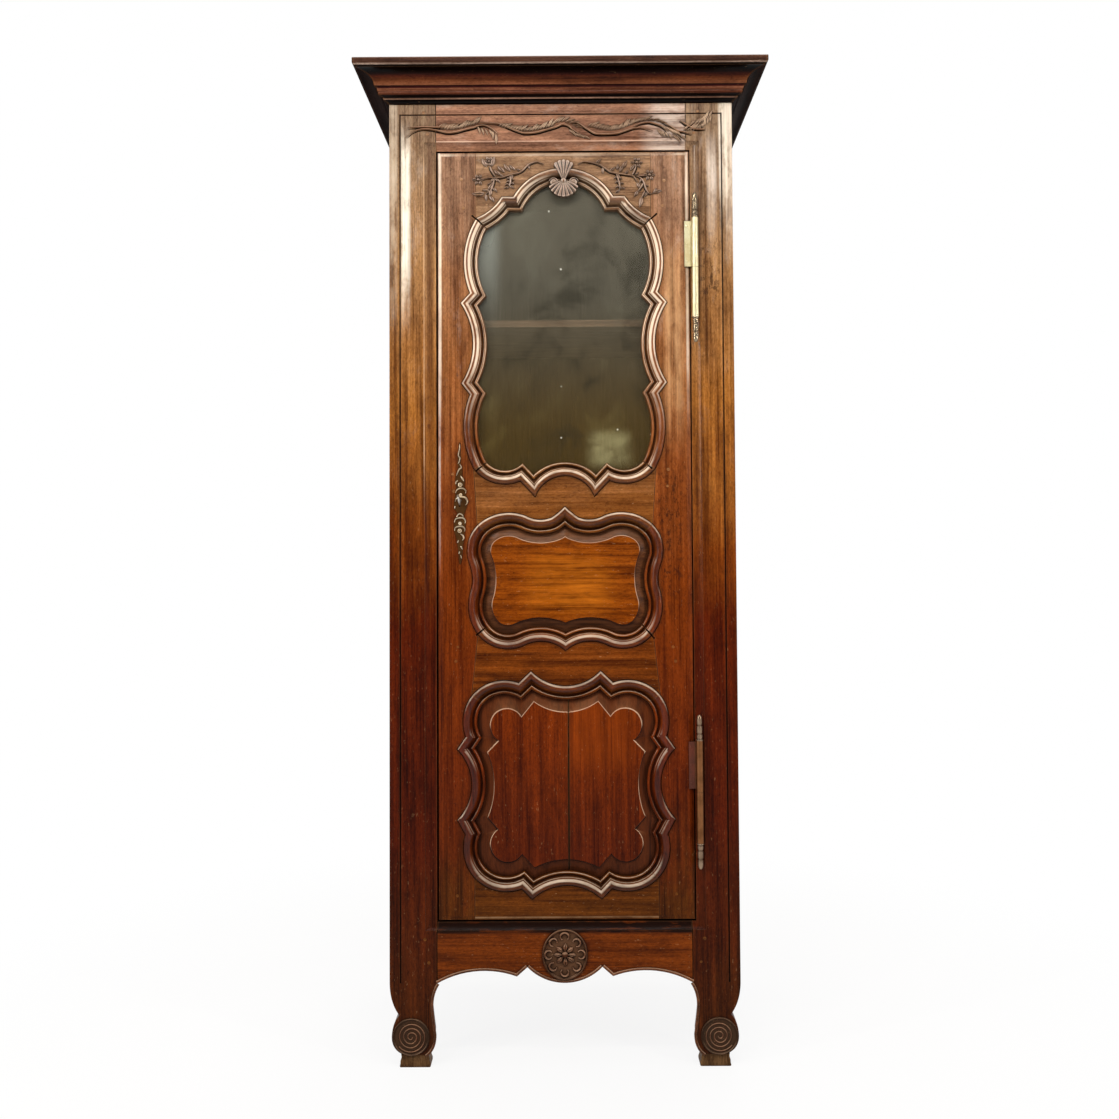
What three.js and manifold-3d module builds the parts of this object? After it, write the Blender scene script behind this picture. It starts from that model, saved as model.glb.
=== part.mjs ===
// A bonnetiere: a tall narrow cupboard with one glazed and panelled door, in millimetres.
// +Z is up and the front faces -Y. The origin is on the floor, under the middle of the whole box.
import * as THREE from 'three';
import Module from 'manifold-3d';
import { mergeVertices } from 'three/addons/utils/BufferGeometryUtils.js';

const wasm = await Module();
wasm.setup();

// Body
const bodyWidth = 730;
const bodyDepth = 500;
const bodyHeight = 2022; // up to the underside of the cornice
const postDepth = 45; // front stiles and rails, front to back
const stileWidth = 99; // front stiles, as seen from the front
const rearPostWidth = 35;
const rearPostDepth = 60;
const woodGap = 0.3; // between two pieces of wood that meet
const overrun = 5; // how far a cut runs past the wood
const arcStep = THREE.MathUtils.degToRad(20);
const curveSegments = 4;
const smoothSine = 0.1; // two sides of an outline that meet at less than this run on smoothly
const cornerRounds = 8; // steps that find where two sides of an outline meet again

// Cornice
const corniceOverhang = 68;
const corniceHeight = 75;
const corniceSeat = 18; // width that rests on the body
const topBoardThickness = 15;
const corniceShares = [
  [0, 0], [0.06, 0.02], [0.18, 0.09], [0.21, 0.15], [0.29, 0.18], [0.31, 0.29], [0.34, 0.33], [0.4, 0.39],
  [0.43, 0.49], [0.47, 0.58], [0.57, 0.66], [0.72, 0.72], [0.93, 0.75], [1, 0.81], [1, 1],
];

// Door
const doorBottom = 299;
const doorHeadDrop = 102; // top of the door, below the top of the body
const hingeSideCut = 9; // how far the doorway runs into the right stile
const doorThickness = 28;
const doorRecess = 6; // door face behind the frame face
const doorBevelWidth = 10;
const doorBevelDepth = 3;
const closingGap = 3;
const hingeGap = 2;
const headGap = 3;
const footGap = 3;
const stopWidth = 10; // lip behind the door that it closes on
const stopGap = 1;

// Hollow moulded edge round the door opening, cut into the frame
const bandLeft = 24;
const bandRight = 19;
const bandTop = 17;
const bandBottom = 16;
const bandDepth = 8;
const bandHollowShare = 0.45; // how far out the hollow is still at 0.8 of its depth
const bandHollowDepthShare = 0.8;

// Line cut into the frame face
const lineInset = 23;
const lineWidth = 3;
const lineDepth = 2;
const lineFloorShare = 0.125; // how far out of the middle the inner wall comes, below the floor

// Legs and apron
const legHeight = 172;
const legCurveShares = [
  [0.005, 0.767, 0.203, 0.615], [0.06, 0.535, 0.045, 0.36], [0.045, 0.201, 0.305, 0.145],
];
const legFlatShare = 0.72;
const legInnerShares = [
  [0.93, 0.2, 0.93, 0.386], [0.9, 0.5, 0.868, 0.69], [0.85, 0.87, 1, 1],
];
const footTopStart = 24;
const footTopEnd = 82;
const footSplay = 3;
const footSetback = 2;
const apronNotchX = 78;
const apronNotchRise = 32.6;
const apronCuspX = 100;
const apronCuspRise = 13.5;
const apronArchBulge = -0.217;
const medallionWidth = 94;
const medallionHeight = 105;
const medallionThickness = 5;
const medallionRise = 58; // its middle, above the top of the legs
const medallionSegments = 24;
const medallionShares = [
  [0, 1], [0.3, 0.95], [0.42, 0.5], [0.7, 0.8], [0.86, 0.55], [1, 0.7], [1, 0], [0, 0],
];

// Sides, back and inside
const sideThickness = 28;
const sideTopRail = 95;
const sideMiddleRail = 80;
const sideMiddleShare = 0.5826; // height of the middle of this rail
const sideBottomRail = 100;
const lowRailDrop = 14; // top of the bottom rails, below the bottom of the door
const backThickness = 26;
const backTopRail = 95;
const backBoardThickness = 12;
const backJointShares = [0, 0.375, 0.68, 1];
const tongue = 8; // depth of the grooves that hold panels and boards
const sidePanelThickness = 6;
const sidePanelRise = 8;
const sidePanelBorder = 12;
const sidePanelBevel = 45;
const floorThickness = 18;
const floorLedge = 6; // how far the floor rests on the side rails
const shelfThickness = 15;
const shelfShares = [0.737, 0.4054, 0.196]; // heights, from the floor board to the top of the body
const shelfSetback = 18; // clear of the lock, behind the front frame
const shelfPlay = 1;
const cleatWidth = 25;
const cleatHeight = 22;

// Tenons
const tenonThickness = 8;
const tenonLength = 24;
const tenonShoulder = 12;
const doorTenonShoulder = 18;
const doorTenonRoot = 24; // where a door tenon starts, back from the end of its rail

// Door joinery: mouldings worked on the edges of the frame, panels in grooves, glass in a rebate
const mouldWidth = 31;
const mouldDrop = 6;
const mouldShares = [
  [0, 0], [0.12, -0.55], [0.35, -0.65], [0.55, -0.1], [0.72, 0.6], [0.79, 0.85], [0.86, 0.5], [0.94, 0.5],
  [1, 0.9],
];
const mouldLap = 0.5;
const grooveDepth = 9;
const grooveFront = 12;
const panelThickness = 6;
const panelFieldFront = 3.5; // raised field, behind the door face
const panelFieldEdge = 1.5;
const panelFlat = 2; // flat border beside the sight line
const middleFieldInset = 52;
const paneFront = 14;
const paneThickness = 3;
const beadThickness = 8;
const boardJoint = 5; // joint of the two boards of the lower panel, right of its middle

// Outlines of the three openings of the door, right half, from the bottom up. A row is a share of the
// half width, a share of the height and the bulge of the side after it: the tangent of a quarter of the
// angle of the arc, or zero where that side is straight.
const windowMargin = 84.7; // sight line to the edge of the door
const windowHeadRail = 63.9; // sight line to the top of the door
const windowFootRail = 65.2; // sight line to the middle moulding
const windowSillBulge = -0.4;
const windowShares = [
  [0.362, 0, 0], [0.487, 0.039, 0.435], [0.909, 0.045, 0.245], [0.907, 0.278, 0], [0.999, 0.314, -0.234],
  [1, 0.578, 0], [0.9, 0.61, 0.253], [0.898, 0.839, -0.114], [0.63, 0.902, 0], [0.481, 0.901, 0.699],
];
const windowLowMitre = 2;
const windowHighMitre = 7;
const middleMargin = 65.3; // moulding to the edge of the door
const middleHeightShare = 0.19; // of the height of the door
const crossRail = 37.7; // between the middle and lower mouldings
const middleShares = [
  [0, 0, -0.3], [0.414, 0.044, 0.36], [0.911, 0.115, 0.246], [0.995, 0.408, -0.17], [1, 0.593, 0.3],
  [0.914, 0.873, 0.29], [0.405, 0.934, -0.22], [0.145, 0.921, -0.06], [0, 1, 0],
];
const middleLowMitre = 2;
const middleHighMitre = 5;
const lowerMargin = 37.1; // moulding to the edge of the door
const lowerHeightShare = 0.296; // of the height of the door
const footRail = 40.6; // below the lower moulding
const lowerSillBulge = -0.4;
const lowerShares = [
  [0.316, 0, 0], [0.41, 0.046, 0.292], [0.833, 0.093, 0.272], [0.926, 0.285, 0], [0.999, 0.35, -0.42],
  [1, 0.655, 0], [0.922, 0.709, 0.257], [0.857, 0.893, 0.309], [0.431, 0.948, 0], [0.317, 1, -0.441],
];
const lowerLowMitre = 2;
const lowerHighMitre = 7;
const fieldSillBulge = -0.25;
const fieldShares = [
  [0.293, 0.141, 0], [0.406, 0.202, 0.494], [0.638, 0.186, 0.484], [0.615, 0.306, 0], [0.71, 0.358, -0.2],
  [0.711, 0.639, 0], [0.607, 0.69, 0.456], [0.649, 0.803, 0.52], [0.406, 0.79, 0], [0.292, 0.858, -0.332],
];

// Hinges: barrels on pins that stand in front of the face, right of the door
const hingeOut = 10; // axis, right of the edge of the door
const hingeForward = 9; // axis, in front of the frame face
const hingeNames = ['upper', 'lower'];
const upperHingeDrop = 253; // joint of its two knuckles, below the top of the door
const lowerHingeRise = 267; // joint of its two knuckles, above the bottom of the door
const barrelRadius = 7.5;
const barrelLength = 106;
const finialLength = 60;
const hingePlay = 0.4;
const pinRadius = 3.2;
const pinHalfLength = 45;
const pinPlay = 0.4;
const boreExtra = 3;
const hingeSegments = 12;
const finialShares = [
  [1, 0], [1.18, 0.04], [1.18, 0.1], [0.55, 0.17], [0.98, 0.34], [0.95, 0.46], [0.5, 0.66], [0.34, 0.74],
  [0.6, 0.81], [0.45, 0.93], [0, 1],
];
const leafThickness = 2.5;
const leafInset = 4; // shorter than the barrel at each end
const wingWidth = 20; // leaf on the face of the door
const frameLeafDepth = 26;
const leafRootShare = 0.75; // where the leaf leaves the barrel, as a share of its radius
const webOffset = 4.6; // left of the axis

// Lock, bolt, keeper, key and key plate
const keyInset = 46; // key axis, right of the free edge of the door
const keyRise = 67; // key axis, above the middle of the door
const keyTilt = THREE.MathUtils.degToRad(14);
const shankRadius = 3;
const shankPlay = 0.5;
const bowWidth = 23;
const bowLength = 26;
const bowBar = 4;
const bowClear = 7;
const bitDrop = 10;
const bitLength = 9;
const bitThickness = 2.4;
const keySegments = 12;
const caseInset = 13;
const caseWidth = 60;
const caseHeight = 90;
const caseDepth = 26;
const caseWall = 2.5;
const boltDepth = 8;
const boltHeight = 14;
const boltRise = 14; // underside of the bolt, above the key axis
const boltLength = 44;
const boltPlay = 0.4;
const boltBack = 1.5; // bolt behind the back of the frame
const keeperWidth = 32;
const keeperSetback = 8; // right edge of the keeper, beside the edge of the opening
const keeperWall = 8;
const keeperPlay = 1;
const plateHeight = 260;
const plateHalfWidth = 12.5;
const plateThickness = 2.5;
const plateLift = 6.5; // key axis, above the middle of the plate
const plateShares = [
  [0, -1], [0.3, -0.9], [0.55, -0.82], [0.3, -0.76], [0.8, -0.66], [0.9, -0.56], [0.4, -0.46], [0.7, -0.38],
  [1, -0.28], [0.9, -0.16], [0.55, -0.1], [1, 0.02], [0.95, 0.14], [0.6, 0.24], [0.9, 0.34], [0.75, 0.44],
  [0.35, 0.5], [0.85, 0.6], [0.7, 0.7], [0.3, 0.76], [0.55, 0.84], [0.3, 0.9], [0, 1],
];

// Places worked out from the sizes
const half = bodyWidth / 2;
const seam = half - stileWidth; // where rails meet the front stiles
const frontY = corniceOverhang - (bodyDepth + corniceOverhang) / 2;
const backY = frontY + bodyDepth;
const postBackY = frontY + postDepth;
const rearPostFrontY = backY - rearPostDepth;
const doorFrontY = frontY + doorRecess;
const doorBackY = doorFrontY + doorThickness;
const stopY = doorBackY + stopGap;
const openLeft = -seam;
const openRight = seam + hingeSideCut;
const doorLeft = openLeft + closingGap;
const doorRight = openRight - hingeGap;
const doorWidth = doorRight - doorLeft;
const doorCentre = (doorLeft + doorRight) / 2;
const doorTop = bodyHeight - doorHeadDrop;
const doorHeight = doorTop - doorBottom;
const openBottom = doorBottom - footGap;
const openTop = doorTop + headGap;
const windowHalfWidth = doorWidth / 2 - windowMargin;
const middleHalfWidth = doorWidth / 2 - middleMargin;
const lowerHalfWidth = doorWidth / 2 - lowerMargin;
const lowerBottom = doorBottom + footRail;
const lowerHeight = doorHeight * lowerHeightShare;
const middleBottom = lowerBottom + lowerHeight + crossRail;
const middleHeight = doorHeight * middleHeightShare;
const windowBottom = middleBottom + middleHeight + windowFootRail;
const windowHeight = doorTop - windowHeadRail - windowBottom;
const hingeX = doorRight + hingeOut;
const hingeY = frontY - hingeForward;
const hingeJoints = [doorTop - upperHingeDrop, doorBottom + lowerHingeRise];
const keyX = doorLeft + keyInset;
const keyHeight = doorBottom + doorHeight / 2 + keyRise;
const lowRailTop = doorBottom - lowRailDrop;
const floorBottom = lowRailTop + woodGap;
const floorTop = floorBottom + floorThickness;
const sideMiddleCentre = bodyHeight * sideMiddleShare;
const sideInner = half - sideThickness;
const rearInner = half - rearPostWidth;
// Where a thing of this thickness starts when it stands in the middle of a thicker one
const centred = (thickness, total) => (total - thickness) / 2;

const cabinet = new THREE.Group();
const walnut = new THREE.MeshStandardMaterial({ color: 0x6b3417, roughness: 0.38, metalness: 0 });
const paleWood = new THREE.MeshStandardMaterial({ color: 0x9a6b3f, roughness: 0.6, metalness: 0 });
const insideWood = new THREE.MeshStandardMaterial({ color: 0x7a5a3c, roughness: 0.7, metalness: 0 });
const glass = new THREE.MeshStandardMaterial({ color: 0xbfc8c0, roughness: 0.05, metalness: 0 });
const brass = new THREE.MeshStandardMaterial({ color: 0xb08d4e, roughness: 0.35, metalness: 1 });
const steel = new THREE.MeshStandardMaterial({ color: 0x8d8a84, roughness: 0.4, metalness: 1 });

// Solids

function solidFrom(positions, triangles) {
  const mesh = new wasm.Mesh({
    numProp: 3,
    vertProperties: new Float32Array(positions),
    triVerts: new Uint32Array(triangles),
  });
  return new wasm.Manifold(mesh);
}

function solidOf(geometry) {
  const bare = geometry.clone();
  bare.deleteAttribute('normal');
  bare.deleteAttribute('uv');
  const merged = mergeVertices(bare);
  const index = merged.index.array;
  const triangles = [];
  for (let i = 0; i < index.length; i += 3) {
    const [a, b, c] = [index[i], index[i + 1], index[i + 2]];
    if (a !== b && b !== c && c !== a) triangles.push(a, b, c);
  }
  return solidFrom(merged.attributes.position.array, triangles);
}

function box(x0, x1, y0, y1, z0, z1) {
  const geometry = new THREE.BoxGeometry(Math.abs(x1 - x0), Math.abs(y1 - y0), Math.abs(z1 - z0));
  geometry.translate((x0 + x1) / 2, (y0 + y1) / 2, (z0 + z1) / 2);
  return solidOf(geometry);
}

// A solid with an outline in X and Z, between two depths
function prism(shape, y0, y1) {
  const geometry = new THREE.ExtrudeGeometry(shape, { depth: y1 - y0, bevelEnabled: false, curveSegments });
  geometry.rotateX(Math.PI / 2);
  geometry.translate(0, y1, 0);
  return solidOf(geometry);
}

// A turned solid that stands along Z, from rows of radius and height
function turned(rows, segments) {
  const profile = rows.map(([radius, height]) => new THREE.Vector2(radius, height));
  const geometry = new THREE.LatheGeometry(profile, segments);
  geometry.rotateX(Math.PI / 2);
  return solidOf(geometry);
}

// A round bar or hole along Y
function barAlongY(radius, x, z, y0, y1, segments) {
  const geometry = new THREE.CylinderGeometry(radius, radius, y1 - y0, segments);
  geometry.translate(x, (y0 + y1) / 2, z);
  return solidOf(geometry);
}

// Triangles that close one end of a loft
function capOf(ring, start, forward) {
  const normal = new THREE.Vector3();
  ring.forEach((point, i) => normal.add(point.clone().cross(ring[(i + 1) % ring.length])));
  const axes = ['x', 'y', 'z'].sort((one, two) => Math.abs(normal[one]) - Math.abs(normal[two]));
  const [u, v] = axes;
  const flat = ring.map((point) => new THREE.Vector2(point[u], point[v]));
  const turn = Math.sign(THREE.ShapeUtils.area(flat));
  return THREE.ShapeUtils.triangulateShape(flat, []).flatMap(([a, b, c]) => {
    const same = Math.sign(THREE.ShapeUtils.area([flat[a], flat[b], flat[c]])) === turn;
    const kept = same === forward ? [a, b, c] : [a, c, b];
    return kept.map((corner) => corner + start);
  });
}

// A skin through rings with the same number of points, closed by two caps or joined into a loop
function loft(rings, looped) {
  const count = rings[0].length;
  const points = rings.flat();
  const bands = looped ? rings.length : rings.length - 1;
  let triangles = [];
  for (let k = 0; k < bands; k += 1) {
    const here = k * count;
    const next = ((k + 1) % rings.length) * count;
    for (let i = 0; i < count; i += 1) {
      const j = (i + 1) % count;
      triangles.push(here + i, here + j, next + j, here + i, next + j, next + i);
    }
  }
  if (!looped) {
    triangles.push(...capOf(rings[0], 0, false));
    triangles.push(...capOf(rings[rings.length - 1], points.length - count, true));
  }
  let volume = 0;
  for (let i = 0; i < triangles.length; i += 3) {
    const [a, b, c] = [points[triangles[i]], points[triangles[i + 1]], points[triangles[i + 2]]];
    volume += a.dot(b.clone().cross(c));
  }
  if (volume < 0) triangles = triangles.reverse();
  return solidFrom(points.flatMap((point) => [point.x, point.y, point.z]), triangles);
}

function addPiece(name, shape, material) {
  const mesh = shape.getMesh();
  const geometry = new THREE.BufferGeometry();
  geometry.setAttribute('position', new THREE.BufferAttribute(mesh.vertProperties, 3));
  geometry.setIndex(new THREE.BufferAttribute(mesh.triVerts, 1));
  geometry.computeVertexNormals();
  const node = new THREE.Mesh(geometry, material);
  node.name = name;
  cabinet.add(node);
}

// Outlines made of straight sides and arcs

function wholeOutline(shares, halfWidth, height, bottom, sillBulge) {
  const right = shares.map(([x, z, bulge]) => ({ x: x * halfWidth, z: bottom + z * height, bulge }));
  const left = right.map((corner, i) => ({
    x: -corner.x,
    z: corner.z,
    bulge: i === 0 ? sillBulge : right[i - 1].bulge,
  })).reverse();
  const top = right[right.length - 1];
  if (top.x === 0) {
    top.bulge = left[0].bulge;
    left.shift();
  }
  if (right[0].x === 0) left.pop();
  return [...right, ...left].map((corner) => ({
    point: new THREE.Vector2(corner.x, corner.z),
    bulge: corner.bulge,
  }));
}

// The side between two corners: a line with its left normal, or a circle with a signed radius
function sideOf(from, to) {
  const chord = to.point.clone().sub(from.point);
  const length = chord.length();
  const left = new THREE.Vector2(-chord.y, chord.x).divideScalar(length);
  if (from.bulge === 0) return { origin: from.point, left };
  const radius = (length * (1 + from.bulge ** 2)) / (4 * from.bulge);
  const sagitta = (from.bulge * length) / 2;
  const middle = from.point.clone().add(to.point).divideScalar(2);
  return { centre: middle.addScaledVector(left, radius - sagitta), radius };
}

// How far a point lies left of a side, and the direction in which that grows
function leftOf(side, point) {
  if (side.left) return [point.clone().sub(side.origin).dot(side.left), side.left];
  const away = point.clone().sub(side.centre);
  const sign = Math.sign(side.radius);
  return [side.radius - sign * away.length(), away.normalize().multiplyScalar(-sign)];
}

// A corner of the outline moved inwards, to where its two sides meet again
function insetCorner(point, before, after, inset) {
  const [, first] = leftOf(before, point);
  const [, second] = leftOf(after, point);
  const sum = first.clone().add(second);
  const place = point.clone().addScaledVector(sum, inset / (1 + first.dot(second)));
  const smooth = Math.abs(first.cross(second)) < smoothSine;
  for (let round = 0; round < cornerRounds && !smooth; round += 1) {
    const [distanceBefore, normalBefore] = leftOf(before, place);
    const [distanceAfter, normalAfter] = leftOf(after, place);
    const cross = normalBefore.cross(normalAfter);
    const missBefore = inset - distanceBefore;
    const missAfter = inset - distanceAfter;
    place.x += (missBefore * normalAfter.y - missAfter * normalBefore.y) / cross;
    place.y += (missAfter * normalBefore.x - missBefore * normalAfter.x) / cross;
  }
  return place;
}

function insetCorners(outline, inset) {
  const sides = outline.map((corner, i) => sideOf(corner, outline[(i + 1) % outline.length]));
  return outline.map((corner, i) => {
    const before = sides[(i + sides.length - 1) % sides.length];
    return insetCorner(corner.point, before, sides[i], inset);
  });
}

// Points round an outline, moved inwards. The arcs take the number of steps that the pattern needs.
function outlinePoints(outline, inset, pattern = outline) {
  const corners = insetCorners(outline, inset);
  const points = [];
  outline.forEach((corner, i) => {
    const from = corners[i];
    const to = corners[(i + 1) % corners.length];
    const side = sideOf(corner, outline[(i + 1) % outline.length]);
    const steps = Math.max(1, Math.ceil(Math.abs(4 * Math.atan(pattern[i].bulge)) / arcStep));
    points.push(from);
    if (side.left) {
      for (let k = 1; k < steps; k += 1) points.push(from.clone().lerp(to, k / steps));
      return;
    }
    const start = from.clone().sub(side.centre);
    const end = to.clone().sub(side.centre);
    const sweep = Math.atan2(start.cross(end), start.dot(end));
    for (let k = 1; k < steps; k += 1) {
      const share = k / steps;
      const angle = start.angle() + sweep * share;
      const radius = THREE.MathUtils.lerp(start.length(), end.length(), share);
      const step = new THREE.Vector2(Math.cos(angle), Math.sin(angle)).multiplyScalar(radius);
      points.push(side.centre.clone().add(step));
    }
  });
  return points;
}

// A flat outline placed at a depth in the door
function ringAt(points, depth) {
  return points.map((point) => new THREE.Vector3(point.x + doorCentre, doorFrontY + depth, point.y));
}

function shapeAt(points, shift) {
  return new THREE.Shape(points.map((point) => new THREE.Vector2(point.x + shift, point.y)));
}

function rectangle(x0, x1, y, z0, z1) {
  return [[x0, z0], [x1, z0], [x1, z1], [x0, z1]].map(([x, z]) => new THREE.Vector3(x, y, z));
}

const windowOutline = wholeOutline(
  windowShares, windowHalfWidth, windowHeight, windowBottom, windowSillBulge,
);
const middleOutline = wholeOutline(middleShares, middleHalfWidth, middleHeight, middleBottom, 0);
const lowerOutline = wholeOutline(lowerShares, lowerHalfWidth, lowerHeight, lowerBottom, lowerSillBulge);
const fieldOutline = wholeOutline(fieldShares, lowerHalfWidth, lowerHeight, lowerBottom, fieldSillBulge);

// Every opening of the door, with the inset of its sight line from the outline that is given
const glazed = { outline: windowOutline, sight: 0, low: windowLowMitre, high: windowHighMitre };
const middle = { outline: middleOutline, sight: mouldWidth, low: middleLowMitre, high: middleHighMitre };
const lower = { outline: lowerOutline, sight: mouldWidth, low: lowerLowMitre, high: lowerHighMitre };
const doorOpenings = [glazed, middle, lower];

// Points round an opening. Across the moulding they run straight from its outer edge to the sight line.
function around(opening, fromSight) {
  if (fromSight > 0) return outlinePoints(opening.outline, opening.sight + fromSight);
  const outer = outlinePoints(opening.outline, opening.sight - mouldWidth);
  const sight = outlinePoints(opening.outline, opening.sight);
  return outer.map((point, i) => point.clone().lerp(sight[i], 1 + fromSight / mouldWidth));
}

// Cornice

function corniceRing(place) {
  const rows = [...corniceShares, [-corniceSeat / corniceOverhang, 1], [-corniceSeat / corniceOverhang, 0]];
  return rows.map(([out, up]) => {
    const [x, y] = place(out * corniceOverhang);
    return new THREE.Vector3(x, y, bodyHeight + woodGap + up * corniceHeight);
  });
}

function makeCornice() {
  const mitreGap = woodGap * Math.SQRT2;
  const front = (side) => corniceRing((out) => [side * (half + out - mitreGap), frontY - out]);
  addPiece('cornice_front', loft([front(-1), front(1)], false), walnut);
  [['left', -1], ['right', 1]].forEach(([name, side]) => {
    const mitred = corniceRing((out) => [side * (half + out), frontY - out]);
    const square = corniceRing((out) => [side * (half + out), backY]);
    addPiece(`cornice_${name}`, loft([mitred, square], false), walnut);
  });
  const inner = half - corniceSeat - woodGap;
  const bottom = bodyHeight + woodGap;
  const boardFront = frontY + corniceSeat + woodGap;
  const board = box(-inner, inner, boardFront, backY, bottom, bottom + topBoardThickness);
  addPiece('top_board', board, insideWood);
}

// Front frame

// Everything that the door, its stop and the hollow edge take out of the frame
function doorOpeningCut() {
  const front = box(openLeft, openRight, frontY - overrun, stopY, openBottom, openTop);
  const back = box(
    openLeft + stopWidth, openRight - stopWidth, stopY - overrun, postBackY + overrun,
    openBottom + stopWidth, openTop - stopWidth,
  );
  const steps = [
    [1 + overrun / bandDepth, -overrun], [1, 0],
    [bandHollowShare, bandHollowDepthShare * bandDepth], [0, bandDepth],
  ];
  const rings = steps.map(([out, depth]) => rectangle(
    openLeft - out * bandLeft, openRight + out * bandRight, frontY + depth,
    openBottom - out * bandBottom, openTop + out * bandTop,
  ));
  return front.add(back).add(loft(rings, false));
}

// The line near the outer edge, up both stiles and across under the cornice
function faceLineCut() {
  const level = (out, depth) => {
    const x = half - lineInset + out;
    return rectangle(-x, x, frontY + depth, legHeight - overrun, bodyHeight - lineInset + out);
  };
  const wall = lineWidth / 2;
  const outer = [level(wall, -overrun), level(wall, 0), level(0, lineDepth)];
  const inner = [
    level(-wall, -overrun * 2), level(-wall, 0), level(-lineWidth * lineFloorShare, lineDepth + overrun),
  ];
  return loft(outer, false).subtract(loft(inner, false));
}

function legShape(side) {
  const at = ([x, z]) => [side * (half - x * stileWidth), z * legHeight];
  const shape = new THREE.Shape();
  shape.moveTo(side * (half - stileWidth), bodyHeight);
  shape.lineTo(side * half, bodyHeight);
  shape.lineTo(...at([0, 1]));
  legCurveShares.forEach(([cx, cz, x, z]) => shape.quadraticCurveTo(...at([cx, cz]), ...at([x, z])));
  const [, , , flat] = legCurveShares[legCurveShares.length - 1];
  shape.lineTo(...at([legFlatShare, flat]));
  legInnerShares.forEach(([cx, cz, x, z]) => shape.quadraticCurveTo(...at([cx, cz]), ...at([x, z])));
  return shape;
}

function tenon(side, face, y, z0, z1, grow) {
  const x0 = side * (face - tenonShoulder);
  const x1 = side * (face + tenonLength + grow);
  const shoulder = tenonShoulder - grow;
  return box(x0, x1, y - grow, y + tenonThickness + grow, z0 + shoulder, z1 - shoulder);
}

const frontTenonY = frontY + centred(tenonThickness, postDepth);
const topRailBottom = openTop + bandTop;
const bottomRailTop = openBottom - bandBottom;
const sideRails = {
  top: [bodyHeight - sideTopRail, bodyHeight],
  middle: [sideMiddleCentre - sideMiddleRail / 2, sideMiddleCentre + sideMiddleRail / 2],
  bottom: [lowRailTop - sideBottomRail, lowRailTop],
};
const sideTenonX = sideInner + centred(tenonThickness, sideThickness);

// Tenon of a side rail into the front post (towards -Y) or the rear post
function sideTenon(side, toFront, [z0, z1], grow) {
  const direction = toFront ? -1 : 1;
  const face = toFront ? postBackY : rearPostFrontY;
  const y0 = face - direction * tenonShoulder;
  const y1 = face + direction * (tenonLength + grow);
  return box(
    side * (sideTenonX - grow), side * (sideTenonX + tenonThickness + grow), y0, y1,
    z0 + tenonShoulder - grow, z1 - tenonShoulder + grow,
  );
}

// Slot in the posts and side rails that the side panels slide into
function sidePanelSlot(side) {
  const x0 = sideInner + centred(sidePanelThickness, sideThickness) - woodGap;
  const x1 = x0 + sidePanelThickness + woodGap * 2;
  const reach = tongue + woodGap;
  const slot = (z0, z1) => box(
    side * x0, side * x1, postBackY - reach, rearPostFrontY + reach, z0 - reach, z1 + reach,
  );
  return slot(sideRails.bottom[1], sideRails.middle[0]).add(slot(sideRails.middle[1], sideRails.top[0]));
}

function hingeLeafSlot(joint) {
  const x = leafThickness / 2 + woodGap;
  return box(
    hingeX - x, hingeX + x, frontY - overrun, frontY + frameLeafDepth + woodGap,
    joint - barrelLength + leafInset - woodGap, joint - leafInset + woodGap,
  );
}

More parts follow.
